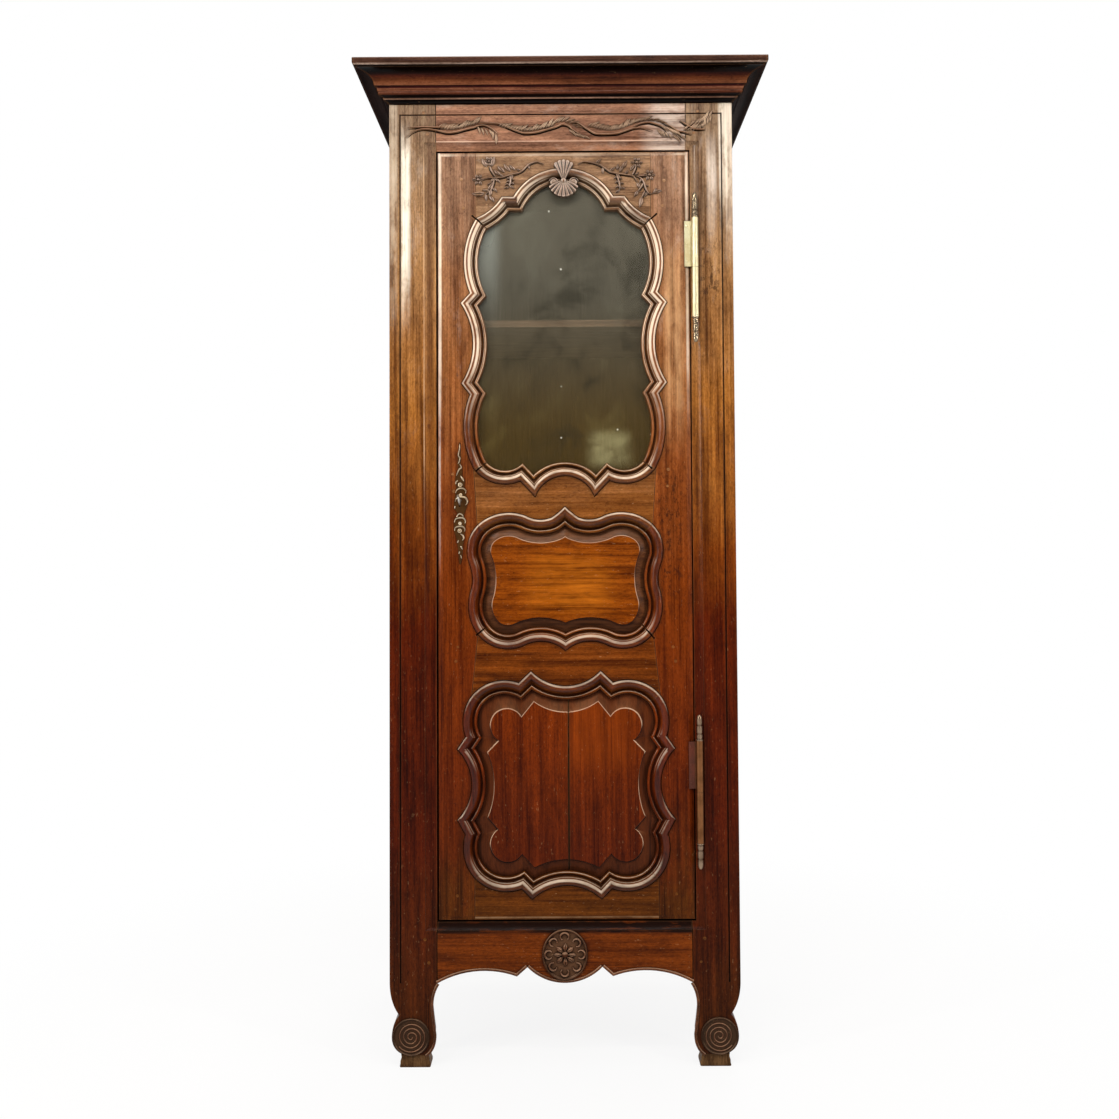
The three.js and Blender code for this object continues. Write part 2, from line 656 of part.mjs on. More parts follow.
function makeFrontFrame() {
  const openingCut = doorOpeningCut();
  const lineCut = faceLineCut();
  [['left', -1, openLeft], ['right', 1, openRight]].forEach(([name, side, edge]) => {
    const lip = box(
      edge - side * stopWidth, side * (half - stileWidth / 2), stopY, postBackY,
      openBottom + stopWidth + woodGap, openTop - stopWidth - woodGap,
    );
    let stile = prism(legShape(side), frontY, postBackY).add(lip).subtract(openingCut).subtract(lineCut);
    stile = stile.subtract(tenon(side, seam, frontTenonY, topRailBottom, bodyHeight, woodGap));
    stile = stile.subtract(tenon(side, seam, frontTenonY, legHeight, bottomRailTop, woodGap));
    Object.values(sideRails).forEach((rail) => {
      stile = stile.subtract(sideTenon(side, true, rail, woodGap));
    });
    stile = stile.subtract(sidePanelSlot(side));
    if (side > 0) {
      hingeJoints.forEach((joint) => {
        stile = stile.subtract(hingeLeafSlot(joint));
      });
    }
    addPiece(`front_${name}_stile`, stile, walnut);
  });

  const end = seam - woodGap;
  const top = box(-end, end, frontY, postBackY, openTop - stopWidth, bodyHeight).subtract(openingCut);
  const topTenons = [-1, 1].map((side) => tenon(side, seam, frontTenonY, topRailBottom, bodyHeight, 0));
  addPiece('front_top_rail', top.subtract(lineCut).add(topTenons[0]).add(topTenons[1]), walnut);

  const apronOutline = [
    [apronNotchX, legHeight + apronNotchRise, 0], [apronCuspX, legHeight + apronCuspRise, apronArchBulge],
    [end, legHeight, 0], [end, openBottom + stopWidth, 0],
  ];
  const apron = wholeOutline(apronOutline, 1, 1, 0, apronNotchRise / apronNotchX);
  const bottom = prism(shapeAt(outlinePoints(apron, 0), 0), frontY, postBackY).subtract(openingCut);
  const lowTenons = [-1, 1].map((side) => tenon(side, seam, frontTenonY, legHeight, bottomRailTop, 0));
  addPiece('front_bottom_rail', bottom.add(lowTenons[0]).add(lowTenons[1]), walnut);

  const rows = medallionShares.map(([out, up]) => [out * medallionHeight / 2, up * medallionThickness]);
  const profile = rows.map(([radius, height]) => new THREE.Vector2(radius, -height));
  const disc = new THREE.LatheGeometry(profile, medallionSegments);
  disc.scale(medallionWidth / medallionHeight, 1, 1);
  disc.translate(0, frontY - woodGap, legHeight + medallionRise);
  addPiece('apron_medallion', solidOf(disc), walnut);

  [['left', -1], ['right', 1]].forEach(([name, side]) => {
    const height = legCurveShares[legCurveShares.length - 1][3] * legHeight - woodGap;
    const level = (z, splay) => {
      const [front, back] = [frontY + footSetback - splay / 2, postBackY - footSetback];
      const [start, end] = [footTopStart - splay, footTopEnd + splay];
      const corners = [[start, front], [end, front], [end, back], [start, back]];
      return corners.map(([inwards, y]) => new THREE.Vector3(side * (half - inwards), y, z));
    };
    addPiece(`foot_block_${name}`, loft([level(0, footSplay), level(height, 0)], false), paleWood);
  });
}

// Sides and back

function makeSides() {
  [['left', -1], ['right', 1]].forEach(([name, side]) => {
    const slot = sidePanelSlot(side);
    const y0 = postBackY + woodGap;
    const y1 = rearPostFrontY - woodGap;
    Object.entries(sideRails).forEach(([level, rail]) => {
      let piece = box(side * sideInner, side * half, y0, y1, rail[0], rail[1]).subtract(slot);
      piece = piece.add(sideTenon(side, true, rail, 0)).add(sideTenon(side, false, rail, 0));
      addPiece(`side_${level}_rail_${name}`, piece, walnut);
    });
    const back = sideInner + centred(sidePanelThickness, sideThickness);
    const panel = (z0, z1) => {
      const ring = (x, inset) => {
        const reach = tongue - inset;
        const [front, rear] = [postBackY - reach, rearPostFrontY + reach];
        const [low, high] = [z0 - reach, z1 + reach];
        const corners = [[front, low], [rear, low], [rear, high], [front, high]];
        return corners.map(([y, z]) => new THREE.Vector3(side * x, y, z));
      };
      const front = back + sidePanelThickness;
      const field = sidePanelBorder + sidePanelBevel;
      return loft([
        ring(back, 0), ring(front, 0), ring(front, sidePanelBorder),
        ring(back + sidePanelThickness + sidePanelRise, field),
      ], false);
    };
    addPiece(`side_lower_panel_${name}`, panel(sideRails.bottom[1], sideRails.middle[0]), walnut);
    addPiece(`side_upper_panel_${name}`, panel(sideRails.middle[1], sideRails.top[0]), walnut);
  });
}

function makeBack() {
  const railFront = backY - backThickness;
  const rails = { top: [bodyHeight - backTopRail, bodyHeight], bottom: sideRails.bottom };
  const slotFront = railFront + centred(backBoardThickness, backThickness) - woodGap;
  const reach = rearInner + tongue + woodGap;
  const slot = box(
    -reach, reach, slotFront, slotFront + backBoardThickness + woodGap * 2,
    rails.bottom[1] - tongue - woodGap, rails.top[0] + tongue + woodGap,
  );
  const tenonY = railFront + centred(tenonThickness, backThickness);
  [['left', -1], ['right', 1]].forEach(([name, side]) => {
    let post = box(side * rearInner, side * half, rearPostFrontY, backY, 0, bodyHeight).subtract(slot);
    Object.values(sideRails).forEach((rail) => {
      post = post.subtract(sideTenon(side, false, rail, woodGap));
    });
    Object.values(rails).forEach(([z0, z1]) => {
      post = post.subtract(tenon(side, rearInner, tenonY, z0, z1, woodGap));
    });
    addPiece(`rear_${name}_stile`, post.subtract(sidePanelSlot(side)), walnut);
  });
  const end = rearInner - woodGap;
  Object.entries(rails).forEach(([level, [z0, z1]]) => {
    let rail = box(-end, end, railFront, backY, z0, z1).subtract(slot);
    [-1, 1].forEach((side) => {
      rail = rail.add(tenon(side, rearInner, tenonY, z0, z1, 0));
    });
    addPiece(`back_${level}_rail`, rail, insideWood);
  });
  const reachX = rearInner + tongue;
  ['left', 'middle', 'right'].forEach((name, i) => {
    const x0 = -reachX + backJointShares[i] * 2 * reachX + woodGap / 2;
    const x1 = -reachX + backJointShares[i + 1] * 2 * reachX - woodGap / 2;
    const y0 = slotFront + woodGap;
    const board = box(x0, x1, y0, y0 + backBoardThickness, rails.bottom[1] - tongue, rails.top[0] + tongue);
    addPiece(`back_board_${name}`, board, insideWood);
  });
}

// Floor, shelves and the cleats that carry them

function makeInside() {
  const boardFront = backY - backThickness + centred(backBoardThickness, backThickness);
  const wide = sideInner + floorLedge;
  const narrow = rearInner - shelfPlay;
  const main = box(-wide, wide, postBackY + woodGap, rearPostFrontY - woodGap, floorBottom, floorTop);
  const tail = box(
    -narrow, narrow, rearPostFrontY - overrun, boardFront - woodGap, floorBottom, floorTop,
  );
  const slots = sidePanelSlot(-1).add(sidePanelSlot(1));
  addPiece('floor_board', main.add(tail).subtract(slots), insideWood);
  ['upper', 'middle', 'lower'].forEach((name, i) => {
    const height = floorTop + (bodyHeight - floorTop) * shelfShares[i];
    const front = postBackY + shelfSetback;
    addPiece(
      `shelf_${name}`,
      box(-narrow, narrow, front, boardFront - shelfPlay / 2, height - shelfThickness, height),
      insideWood,
    );
    [['left', -1], ['right', 1]].forEach(([hand, side]) => {
      const top = height - shelfThickness - woodGap;
      const cleat = box(
        side * (sideInner - cleatWidth), side * (sideInner - woodGap), postBackY + woodGap,
        rearPostFrontY - woodGap, top - cleatHeight, top,
      );
      addPiece(`shelf_cleat_${name}_${hand}`, cleat, insideWood);
    });
  });
}

// Door

// Section of the frame round an opening: the moulding, then the groove or rebate that holds the infill
function mouldedRing(opening, section) {
  const rows = [...mouldShares.map(([out, depth]) => [out, depth * mouldDrop]), ...section];
  return loft(rows.map(([out, depth]) => ringAt(around(opening, (out - 1) * mouldWidth), depth)), true);
}

// Where the door stiles meet the rails, from the top down: along the mitres of the mouldings
function seamPath() {
  const path = [];
  doorOpenings.forEach((opening) => {
    const outer = insetCorners(opening.outline, opening.sight - mouldWidth);
    const beyond = insetCorners(opening.outline, opening.sight + mouldWidth / 2);
    path.push(outer[opening.high], beyond[opening.high], beyond[opening.low], outer[opening.low]);
  });
  const first = path[0].clone().setY(doorTop + overrun);
  const last = path[path.length - 1].clone().setY(doorBottom - overrun);
  return [first, ...path, last];
}

function doorFrameSolid() {
  const face = (depth, inset) => rectangle(
    doorLeft + inset, doorRight - inset, doorFrontY + depth, doorBottom + inset, doorTop - inset,
  );
  let frame = loft([face(doorThickness, 0), face(doorBevelDepth, 0), face(0, doorBevelWidth)], false);
  const floor = 1 - grooveDepth / mouldWidth;
  const grooveBack = grooveFront + panelThickness + woodGap * 2;
  const panelSection = [
    [1, grooveFront], [floor, grooveFront], [floor, grooveBack], [1, grooveBack],
    [1, doorThickness], [0, doorThickness],
  ];
  const paneSection = [[1, paneFront], [floor, paneFront], [floor, doorThickness], [0, doorThickness]];
  doorOpenings.forEach((opening) => {
    const hole = shapeAt(around(opening, mouldLap - mouldWidth), doorCentre);
    frame = frame.subtract(prism(hole, doorFrontY - overrun, doorBackY + overrun));
  });
  frame = frame.add(mouldedRing(glazed, paneSection));
  frame = frame.add(mouldedRing(middle, panelSection));
  frame = frame.add(mouldedRing(lower, panelSection));
  return frame;
}

function makeDoorFrame() {
  const frame = doorFrameSolid();
  const path = seamPath();
  const beyond = doorWidth;
  const y0 = doorFrontY - overrun;
  const y1 = doorBackY + overrun;
  const tenonY = doorFrontY + centred(tenonThickness, doorThickness);
  // Ends of the rails: the heights between the corners where the seam leaves one opening for the next
  const [, windowHigh, , , windowLow, middleHigh, , , middleLow, lowerHigh, , , lowerLow] = path;
  const ends = [
    ['door_top_rail', windowHigh, windowHigh.clone().setY(doorTop)],
    ['door_upper_cross_rail', middleHigh, windowLow],
    ['door_lower_cross_rail', lowerHigh, middleLow],
    ['door_bottom_rail', lowerLow.clone().setY(doorBottom), lowerLow],
  ].map(([name, low, high]) => ({ name, x: Math.max(low.x, high.x), z0: low.y, z1: high.y }));
  const railTenon = (side, end, grow) => box(
    doorCentre + side * (end.x - doorTenonRoot), doorCentre + side * (end.x + tenonLength + grow),
    tenonY - grow, tenonY + tenonThickness + grow,
    end.z0 + doorTenonShoulder - grow, end.z1 - doorTenonShoulder + grow,
  );

  [['left', -1], ['right', 1]].forEach(([name, side]) => {
    const inner = path.map((point) => new THREE.Vector2(side * (point.x + woodGap / 2), point.y));
    const outer = [doorBottom - overrun, doorTop + overrun].map((z) => new THREE.Vector2(side * beyond, z));
    const region = [...inner, ...outer];
    let stile = frame.intersect(prism(shapeAt(region, doorCentre), y0, y1));
    ends.forEach((end) => {
      stile = stile.subtract(railTenon(side, end, woodGap));
    });
    if (side < 0) stile = stile.subtract(keyHole(y0, y1));
    addPiece(`door_${name}_stile`, stile, walnut);
  });

  const right = path.map((point) => new THREE.Vector2(point.x - woodGap / 2, point.y));
  const left = path.map((point) => new THREE.Vector2(woodGap / 2 - point.x, point.y)).reverse();
  const between = frame.intersect(prism(shapeAt([...right, ...left], doorCentre), y0, y1));
  const levels = [
    doorTop + overrun, windowBottom + windowHeight / 2, middleBottom + middleHeight / 2,
    lowerBottom + lowerHeight / 2, doorBottom - overrun,
  ];
  ends.forEach((end, i) => {
    let rail = between.intersect(box(-beyond, beyond, y0, y1, levels[i + 1], levels[i]));
    [-1, 1].forEach((side) => {
      rail = rail.add(railTenon(side, end, 0));
    });
    addPiece(end.name, rail.subtract(keyHole(y0, y1)), walnut);
  });
}

function makeInfill() {
  const rim = woodGap - grooveDepth;
  const paneY = doorFrontY + paneFront + woodGap;
  const paneShape = shapeAt(around(glazed, rim), doorCentre);
  addPiece('window_pane', prism(paneShape, paneY, paneY + paneThickness), glass);

  const beadFront = paneFront + paneThickness + woodGap * 2;
  const beadBack = beadFront + beadThickness;
  const bead = [[rim, beadFront], [0, beadFront], [0, beadBack], [rim, beadBack]];
  const beadRings = bead.map(([inset, depth]) => ringAt(around(glazed, inset), depth));
  addPiece('glazing_bead', loft(beadRings, true), walnut);

  const tongueTop = grooveFront + woodGap;
  const panelRings = (opening, fieldPoints) => [
    ringAt(around(opening, rim), tongueTop + panelThickness),
    ringAt(around(opening, rim), tongueTop),
    ringAt(around(opening, panelFlat), tongueTop),
    ringAt(fieldPoints, panelFieldFront + panelFieldEdge),
    ringAt(fieldPoints, panelFieldFront),
  ];
  const middleField = outlinePoints(middleOutline, middleFieldInset);
  addPiece('middle_panel', loft(panelRings(middle, middleField), false), walnut);

  const lowerField = outlinePoints(fieldOutline, 0, lowerOutline);
  const lowerPanel = loft(panelRings(lower, lowerField), false);
  const joint = doorCentre + boardJoint;
  const board = (x0, x1) => lowerPanel.intersect(
    box(x0, x1, doorFrontY, doorBackY, doorBottom, lowerBottom + lowerHeight),
  );
  addPiece('lower_panel_left', board(doorLeft, joint - woodGap / 2), walnut);
  addPiece('lower_panel_right', board(joint + woodGap / 2, doorRight), walnut);
}

// Hinges

function knuckle(joint, direction) {
  const start = hingePlay / 2;
  const bore = pinRadius + pinPlay;
  const depth = pinHalfLength + boreExtra;
  const rows = [
    [0, depth], [bore, depth], [bore, start], [barrelRadius, start],
    ...finialShares.map(([out, up]) => [out * barrelRadius, barrelLength + up * finialLength]),
  ];
  const placed = rows.map(([radius, height]) => [radius, direction * height]);
  const shape = turned(direction > 0 ? placed : placed.reverse(), hingeSegments);
  return shape.translate([hingeX, hingeY, joint]);
}

function makeHinges() {
  hingeNames.forEach((name, i) => {
    const joint = hingeJoints[i];
    const x0 = hingeX - webOffset - leafThickness;
    const x1 = hingeX - webOffset;
    const wingBack = doorFrontY - woodGap;
    const wing = box(
      doorRight - wingWidth, x1, wingBack - leafThickness, wingBack,
      joint + leafInset, joint + barrelLength - leafInset,
    );
    const web = box(x0, x1, hingeY, wingBack, joint + leafInset, joint + barrelLength - leafInset);
    addPiece(`hinge_${name}_door_knuckle`, knuckle(joint, 1).add(wing).add(web), brass);

    const leaf = box(
      hingeX - leafThickness / 2, hingeX + leafThickness / 2,
      hingeY + barrelRadius * leafRootShare, frontY + frameLeafDepth,
      joint - barrelLength + leafInset, joint - leafInset,
    );
    addPiece(`hinge_${name}_frame_knuckle`, knuckle(joint, -1).add(leaf), brass);

    const pin = new THREE.CylinderGeometry(pinRadius, pinRadius, pinHalfLength * 2, hingeSegments);
    pin.rotateX(Math.PI / 2);
    pin.translate(hingeX, hingeY, joint);
    addPiece(`hinge_${name}_pin`, solidOf(pin), steel);
  });
}

// Lock

function keyHole(y0, y1) {
  const slotHalf = bitThickness / 2 + shankPlay;
  const slot = box(keyX - slotHalf, keyX + slotHalf, y0, y1, keyHeight - bitDrop - shankRadius, keyHeight);
  return barAlongY(shankRadius + shankPlay, keyX, keyHeight, y0, y1, keySegments).add(slot);
}

function makeLock() {
  const caseLeft = doorLeft + caseInset;
  const caseRight = caseLeft + caseWidth;
  const caseFront = doorBackY + woodGap;
  const caseBack = doorBackY + caseDepth;
  const z0 = keyHeight - caseHeight / 2;
  const z1 = keyHeight + caseHeight / 2;
  const boltY = postBackY + boltBack;
  const boltZ = keyHeight + boltRise;
  const shell = box(caseLeft, caseRight, caseFront, caseBack, z0, z1);
  const cavity = box(
    caseLeft + caseWall, caseRight - caseWall, caseFront - overrun, caseBack - caseWall,
    z0 + caseWall, z1 - caseWall,
  );
  const mouth = box(
    caseLeft - overrun, caseLeft + overrun, boltY - boltPlay, boltY + boltDepth + boltPlay,
    boltZ - boltPlay, boltZ + boltHeight + boltPlay,
  );
  addPiece('lock_case', shell.subtract(cavity).subtract(mouth), steel);
  addPiece(
    'lock_bolt',
    box(caseLeft, caseLeft + boltLength, boltY, boltY + boltDepth, boltZ, boltZ + boltHeight),
    steel,
  );

  const keeperRight = openLeft + keeperSetback;
  const keeperFront = postBackY + woodGap;
  const pocketBack = boltY + boltDepth + keeperPlay;
  const keeper = box(
    keeperRight - keeperWidth, keeperRight, keeperFront, pocketBack + keeperWall / 2,
    boltZ - keeperWall, boltZ + boltHeight + keeperWall,
  );
  const pocket = box(
    keeperRight - keeperWidth + keeperWall, keeperRight + overrun, keeperFront - overrun, pocketBack,
    boltZ - keeperPlay, boltZ + boltHeight + keeperPlay,
  );
  addPiece('lock_keeper', keeper.subtract(pocket), steel);

  const plateMiddle = keyHeight - plateLift;
  const edge = plateShares.map(([x, z]) => [x * plateHalfWidth, plateMiddle + (z * plateHeight) / 2]);
  const other = edge.slice(1, -1).reverse().map(([x, z]) => [-x, z]);
  const outline = [...edge, ...other].map(([x, z]) => new THREE.Vector2(x, z));
  const plateBack = doorFrontY - woodGap;
  const plate = prism(shapeAt(outline, keyX), plateBack - plateThickness, plateBack);
  addPiece('escutcheon', plate.subtract(keyHole(plateBack - overrun, plateBack + overrun)), brass);
}

function makeKey() {
  const bowBack = doorFrontY - plateThickness - bowClear;
  const tip = doorBackY + caseDepth - caseWall * 2;
  const shank = barAlongY(shankRadius, 0, 0, bowBack - bowBar / 2, tip, keySegments);
  const bitFoot = shankPlay * 2 - shankRadius - bitDrop;
  const bit = box(-bitThickness / 2, bitThickness / 2, tip - bitLength, tip - woodGap, bitFoot, 0);
  const oval = (inset) => [0, 0, bowLength / 2 - inset, bowWidth / 2 - inset, 0, Math.PI * 2];
  const ring = new THREE.Shape().absellipse(...oval(0));
  ring.holes.push(new THREE.Path().absellipse(...oval(bowBar)));
  const extrusion = { depth: bowBar, bevelEnabled: false, curveSegments: keySegments };
  const bow = new THREE.ExtrudeGeometry(ring, extrusion);
  bow.translate(-bowBack + bowLength / 2, 0, -bowBar / 2);
  bow.rotateX(Math.PI / 2);
  bow.rotateZ(-Math.PI / 2);
  const key = shank.add(bit).add(solidOf(bow));
  const turnedKey = key.rotate([0, THREE.MathUtils.radToDeg(keyTilt), 0]);
  addPiece('key', turnedKey.translate([keyX, 0, keyHeight]), steel);
}

makeCornice();
makeFrontFrame();
makeSides();
makeBack();
makeInside();
makeDoorFrame();
makeInfill();
makeHinges();
makeLock();
makeKey();

export default cabinet;
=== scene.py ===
from math import atan, atan2, ceil, copysign, cos, pi, radians, sin

import bmesh
import bpy
from mathutils import Matrix, Vector


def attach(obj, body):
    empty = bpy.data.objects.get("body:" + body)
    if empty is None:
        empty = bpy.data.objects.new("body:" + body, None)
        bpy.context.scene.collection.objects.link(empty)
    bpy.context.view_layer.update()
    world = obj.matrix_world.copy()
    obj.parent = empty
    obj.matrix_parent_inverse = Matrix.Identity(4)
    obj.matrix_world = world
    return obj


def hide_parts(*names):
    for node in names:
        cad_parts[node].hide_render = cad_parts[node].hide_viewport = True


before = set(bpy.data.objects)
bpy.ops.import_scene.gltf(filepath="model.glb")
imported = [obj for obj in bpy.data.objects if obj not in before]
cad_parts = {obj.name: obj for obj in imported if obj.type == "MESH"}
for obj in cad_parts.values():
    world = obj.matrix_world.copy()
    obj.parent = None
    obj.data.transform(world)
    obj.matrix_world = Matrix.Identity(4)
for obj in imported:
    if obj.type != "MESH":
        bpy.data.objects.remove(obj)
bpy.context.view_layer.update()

# The looks of a walnut bonnetiere. Sizes are in millimetres, as on a drawing: x to the right, y to the
# back, z up from the floor. MM turns them into metres when a mesh is made.
MM = 0.001
SIDES = (("left", -1), ("right", 1))

# Body
HALF = 365
STILE_WIDTH = 99
SEAM = HALF - STILE_WIDTH
BODY_HEIGHT = 2022
FRONT_Y = -216
BACK_Y = 284
POST_BACK_Y = -171
WOOD_GAP = 0.3
SEAM_GAP = 0.9
OVERRUN = 5
EASED = 1.3

# Cornice: how far out and how far up, from the top of the body
CORNICE_SEAT = 18
MITRE_GAP = 0.9
CORNICE_ROWS = [
    (0, 0), (3.4, 0.6), (4.4, 2.2), (5.6, 3.8), (8.2, 4.8), (10.8, 6.4), (12.4, 8.8), (13.2, 11.2),
    (16.6, 11.6), (19.4, 13), (20.9, 15.2), (21.3, 17.8), (20.9, 20.2), (22.6, 20.6), (22.9, 23.4),
    (24.2, 26.6), (26.6, 29.2), (28.6, 30), (29, 33.4), (30.2, 38.4), (33, 43.6), (37.6, 48.4),
    (43.6, 52.2), (50.4, 54.8), (57.4, 56.1), (62.4, 56.4), (62.8, 59), (65.2, 60), (67, 61.8), (67.8, 63.4),
    (68, 64.6), (68, 73.4), (67, 75),
]

# Door
DOOR_LEFT = -263
DOOR_RIGHT = 273
DOOR_CENTRE = 5
DOOR_BOTTOM = 299
DOOR_TOP = 1920
DOOR_FRONT_Y = -210
DOOR_BACK_Y = -182
DOOR_THICKNESS = 28
OPEN_LEFT = -266
OPEN_RIGHT = 275
OPEN_BOTTOM = 296
OPEN_TOP = 1923
STOP_Y = -181
STOP_WIDTH = 10

# Hollow moulded edge round the doorway, and the line cut into the frame face
BAND_LEFT = 24
BAND_RIGHT = 19
BAND_TOP = 17
BAND_BOTTOM = 16
BAND_DEPTH = 8
BAND_LIP = 0.9
BAND_STEPS = 9
LINE_INSET = 23
LINE_WIDTH = 3.4
LINE_DEPTH = 2

# Legs and apron, as shares of the stile width and of the leg height
LEG_HEIGHT = 172
LEG_CURVES = [(0.005, 0.767, 0.203, 0.615), (0.06, 0.535, 0.045, 0.36), (0.045, 0.201, 0.305, 0.145)]
LEG_FLAT = 0.72
LEG_INNER_CURVES = [(0.93, 0.2, 0.93, 0.386), (0.9, 0.5, 0.868, 0.69), (0.85, 0.87, 1, 1)]
CURVE_STEPS = 14
NOTCH_X = 78
NOTCH_Z = 204.6
CUSP_X = 100
CUSP_Z = 185.5
ARCH_BULGE = -0.217
MEDALLION_Z = 230
MEDALLION_HALF_WIDTH = 47
MEDALLION_HALF_HEIGHT = 52.5
SCROLL_IN = 45
SCROLL_Z = 62
SCROLL_START = 2.5
SCROLL_END = 31.5
SCROLL_TURNS = 3.4

# Bead along the lower edges, and the dot product below which it breaks at a corner
BEAD_INSET = 2.6
BEAD_TURN = 0.9

# Foot blocks: how far in from the side of the body, then height, how far they spread and sway
FOOT_OUTER = 24
FOOT_INNER = 82
FOOT_ROUND = 3
FOOT_ROWS = [
    (0, 2.8, 0), (1.2, 3.2, 0), (6, 2.6, 0.6), (12, 1.4, -0.5), (18, 0.2, 0.4), (22, 0, 0), (24.3, 0.6, 0),
]

# Moulding worked on the edges of the door frame: across from its outer edge, and depth behind the face
MOULD_WIDTH = 31
MOULD_ROWS = [
    (0, 0), (0.5, 1.4), (1.9, 1.4), (2.2, -1.6), (2.9, -3.2), (4.2, -4.5), (6.2, -5.3), (8.6, -5.5),
    (11, -5), (13.2, -3.9), (15.2, -2.2), (16.9, -0.1), (18.4, 2.1), (19.8, 4.2), (21.2, 5.8), (22.6, 6.6),
    (23.8, 6.6), (24.3, 4.4), (25, 2.6), (26.2, 1.7), (27.8, 1.6), (29.2, 2.3), (30.3, 3.8), (31, 6),
]
GROOVE_DEPTH = 9
GROOVE_FRONT = 12
PANEL_THICKNESS = 6
FIELD_FRONT = 3.5
PANEL_FLAT = 2
MIDDLE_FIELD_INSET = 52
PANE_FRONT = 14.3
PANE_THICKNESS = 3
BOARD_JOINT_X = 10
ARC_STEP = radians(4)
SMOOTH_SINE = 0.1
CORNER_ROUNDS = 8

# Outer edge of the door: depth behind its face, and how far in
DOOR_EDGE = [(DOOR_THICKNESS, 1), (DOOR_THICKNESS - 1, 0), (4.2, 0), (3.2, 0.7), (0.5, 9.2), (0, 10.6)]

# Places on the panels where their colour changes, in metres: the slope round a raised field, in painted shade,
# the sharp step at its edge, with painted highlight and shadow, and the end of its face
SLOPE_START = -0.2062
SLOPE_END = -0.2045
RIM_Y = -0.2063
FIELD_END = (-0.205, -0.203)

# Cracks across the mouldings of the door, each from its wide outer end to its inner one
CRACKS = [
    ((-190.7, 1784.7), (-151, 1749.2)), ((205, 1786.6), (164.3, 1750.3)), ((-182.7, 1238), (-157.7, 1259)),
    ((190, 1241.5), (169, 1259)), ((182, 1102.6), (160.5, 1124.2)), ((192.4, 883.2), (166.2, 913.1)),
    ((-183.7, 892.1), (-162.5, 909.5)),
]
CRACK_WIDTH = 4
CRACK_DEPTH = 5

# Outlines of the openings of the door, right half, from the bottom up: share of the half width, share
# of the height, and the bulge of the side after it, which is the tangent of a quarter of its angle
WINDOW = [
    (0.362, 0, 0), (0.487, 0.039, 0.435), (0.909, 0.045, 0.245), (0.907, 0.278, 0), (0.999, 0.314, -0.234),
    (1, 0.578, 0), (0.9, 0.61, 0.253), (0.898, 0.839, -0.114), (0.63, 0.902, 0), (0.481, 0.901, 0.699),
]
WINDOW_SIZE = (183.3, 625.8, 1230.3)
WINDOW_SILL = -0.4
MIDDLE = [
    (0, 0, -0.3), (0.414, 0.044, 0.36), (0.911, 0.115, 0.246), (0.995, 0.408, -0.17), (1, 0.593, 0.3),
    (0.914, 0.873, 0.29), (0.405, 0.934, -0.22), (0.145, 0.921, -0.06), (0, 1, 0),
]
MIDDLE_SIZE = (202.7, 308, 857.1)
LOWER = [
    (0.316, 0, 0), (0.41, 0.046, 0.292), (0.833, 0.093, 0.272), (0.926, 0.285, 0), (0.999, 0.35, -0.42),
    (1, 0.655, 0), (0.922, 0.709, 0.257), (0.857, 0.893, 0.309), (0.431, 0.948, 0), (0.317, 1, -0.441),
]
LOWER_SIZE = (230.9, 479.8, 339.6)
LOWER_SILL = -0.4
FIELD = [
    (0.293, 0.141, 0), (0.406, 0.202, 0.494), (0.638, 0.186, 0.484), (0.615, 0.306, 0), (0.71, 0.358, -0.2),
    (0.711, 0.639, 0), (0.607, 0.69, 0.456), (0.649, 0.803, 0.52), (0.406, 0.79, 0), (0.292, 0.858, -0.332),
]
FIELD_SILL = -0.25

# Hinges
HINGE_X = 283
HINGE_Y = -225
HINGE_JOINTS = {"upper": 1667, "lower": 566}
BARREL_RADIUS = 7.5
BARREL_LENGTH = 106
FINIAL_LENGTH = 54
HINGE_SEGMENTS = 32
FINIAL_ROWS = [
    (1, 0), (1.06, 0.012), (1.06, 0.035), (0.68, 0.05), (0.64, 0.075), (0.8, 0.09), (0.86, 0.16),
    (0.8, 0.235), (0.6, 0.255), (0.6, 0.28), (0.78, 0.3), (0.84, 0.42), (0.8, 0.56), (0.56, 0.585),
    (0.56, 0.61), (0.72, 0.63), (0.78, 0.74), (0.76, 0.84), (0.62, 0.93), (0.34, 0.985), (0, 1),
]
WING_WIDTH = 11
LEAF_THICKNESS = 2.5
LEAF_INSET = 4
WEB_OFFSET = 4.6
FRAME_LEAF_DEPTH = 26
NAIL_SHARES = (0.12, 0.5, 0.88)

# Lock, key and key plate
KEY_X = -217
KEY_Z = 1176.5
KEY_TILT = radians(14)
SHANK_RADIUS = 3
SLOT_HALF_WIDTH = 1.7
SLOT_DROP = 13
BOW_BACK_Y = DOOR_FRONT_Y - 9.5
BOW_BAR = 2.0
KEY_TIP_Y = DOOR_BACK_Y + 21
COLLAR_ROWS = [
    (0, -2.6), (1.8, -2.4), (3, -0.4), (3.3, 0.8), (2.4, 1.6), (3.4, 2.4), (3.4, 3.8), (2.6, 4.6),
    (2.9, 5.6),
]
PLATE_BACK_Y = -210.3
PLATE_THICKNESS = 1.1


# Meshes


def in_scene(name, data):
    """A new object in the scene."""
    thing = bpy.data.objects.new(name, data)
    bpy.context.scene.collection.objects.link(thing)
    return thing


def vectors(rows):
    return [Vector(row) for row in rows]


def round_steps(count):
    """The angles of so many points round a circle."""
    return [2 * pi * k / count for k in range(count)]


def swept_volume(points, faces):
    """Six times the volume inside a skin, below zero if its faces look inwards."""
    total = 0.0
    for face in faces:
        first = points[face[0]]
        for one, two in zip(face[1:-1], face[2:]):
            total += Vector(first).dot(Vector(points[one]).cross(Vector(points[two])))
    return total


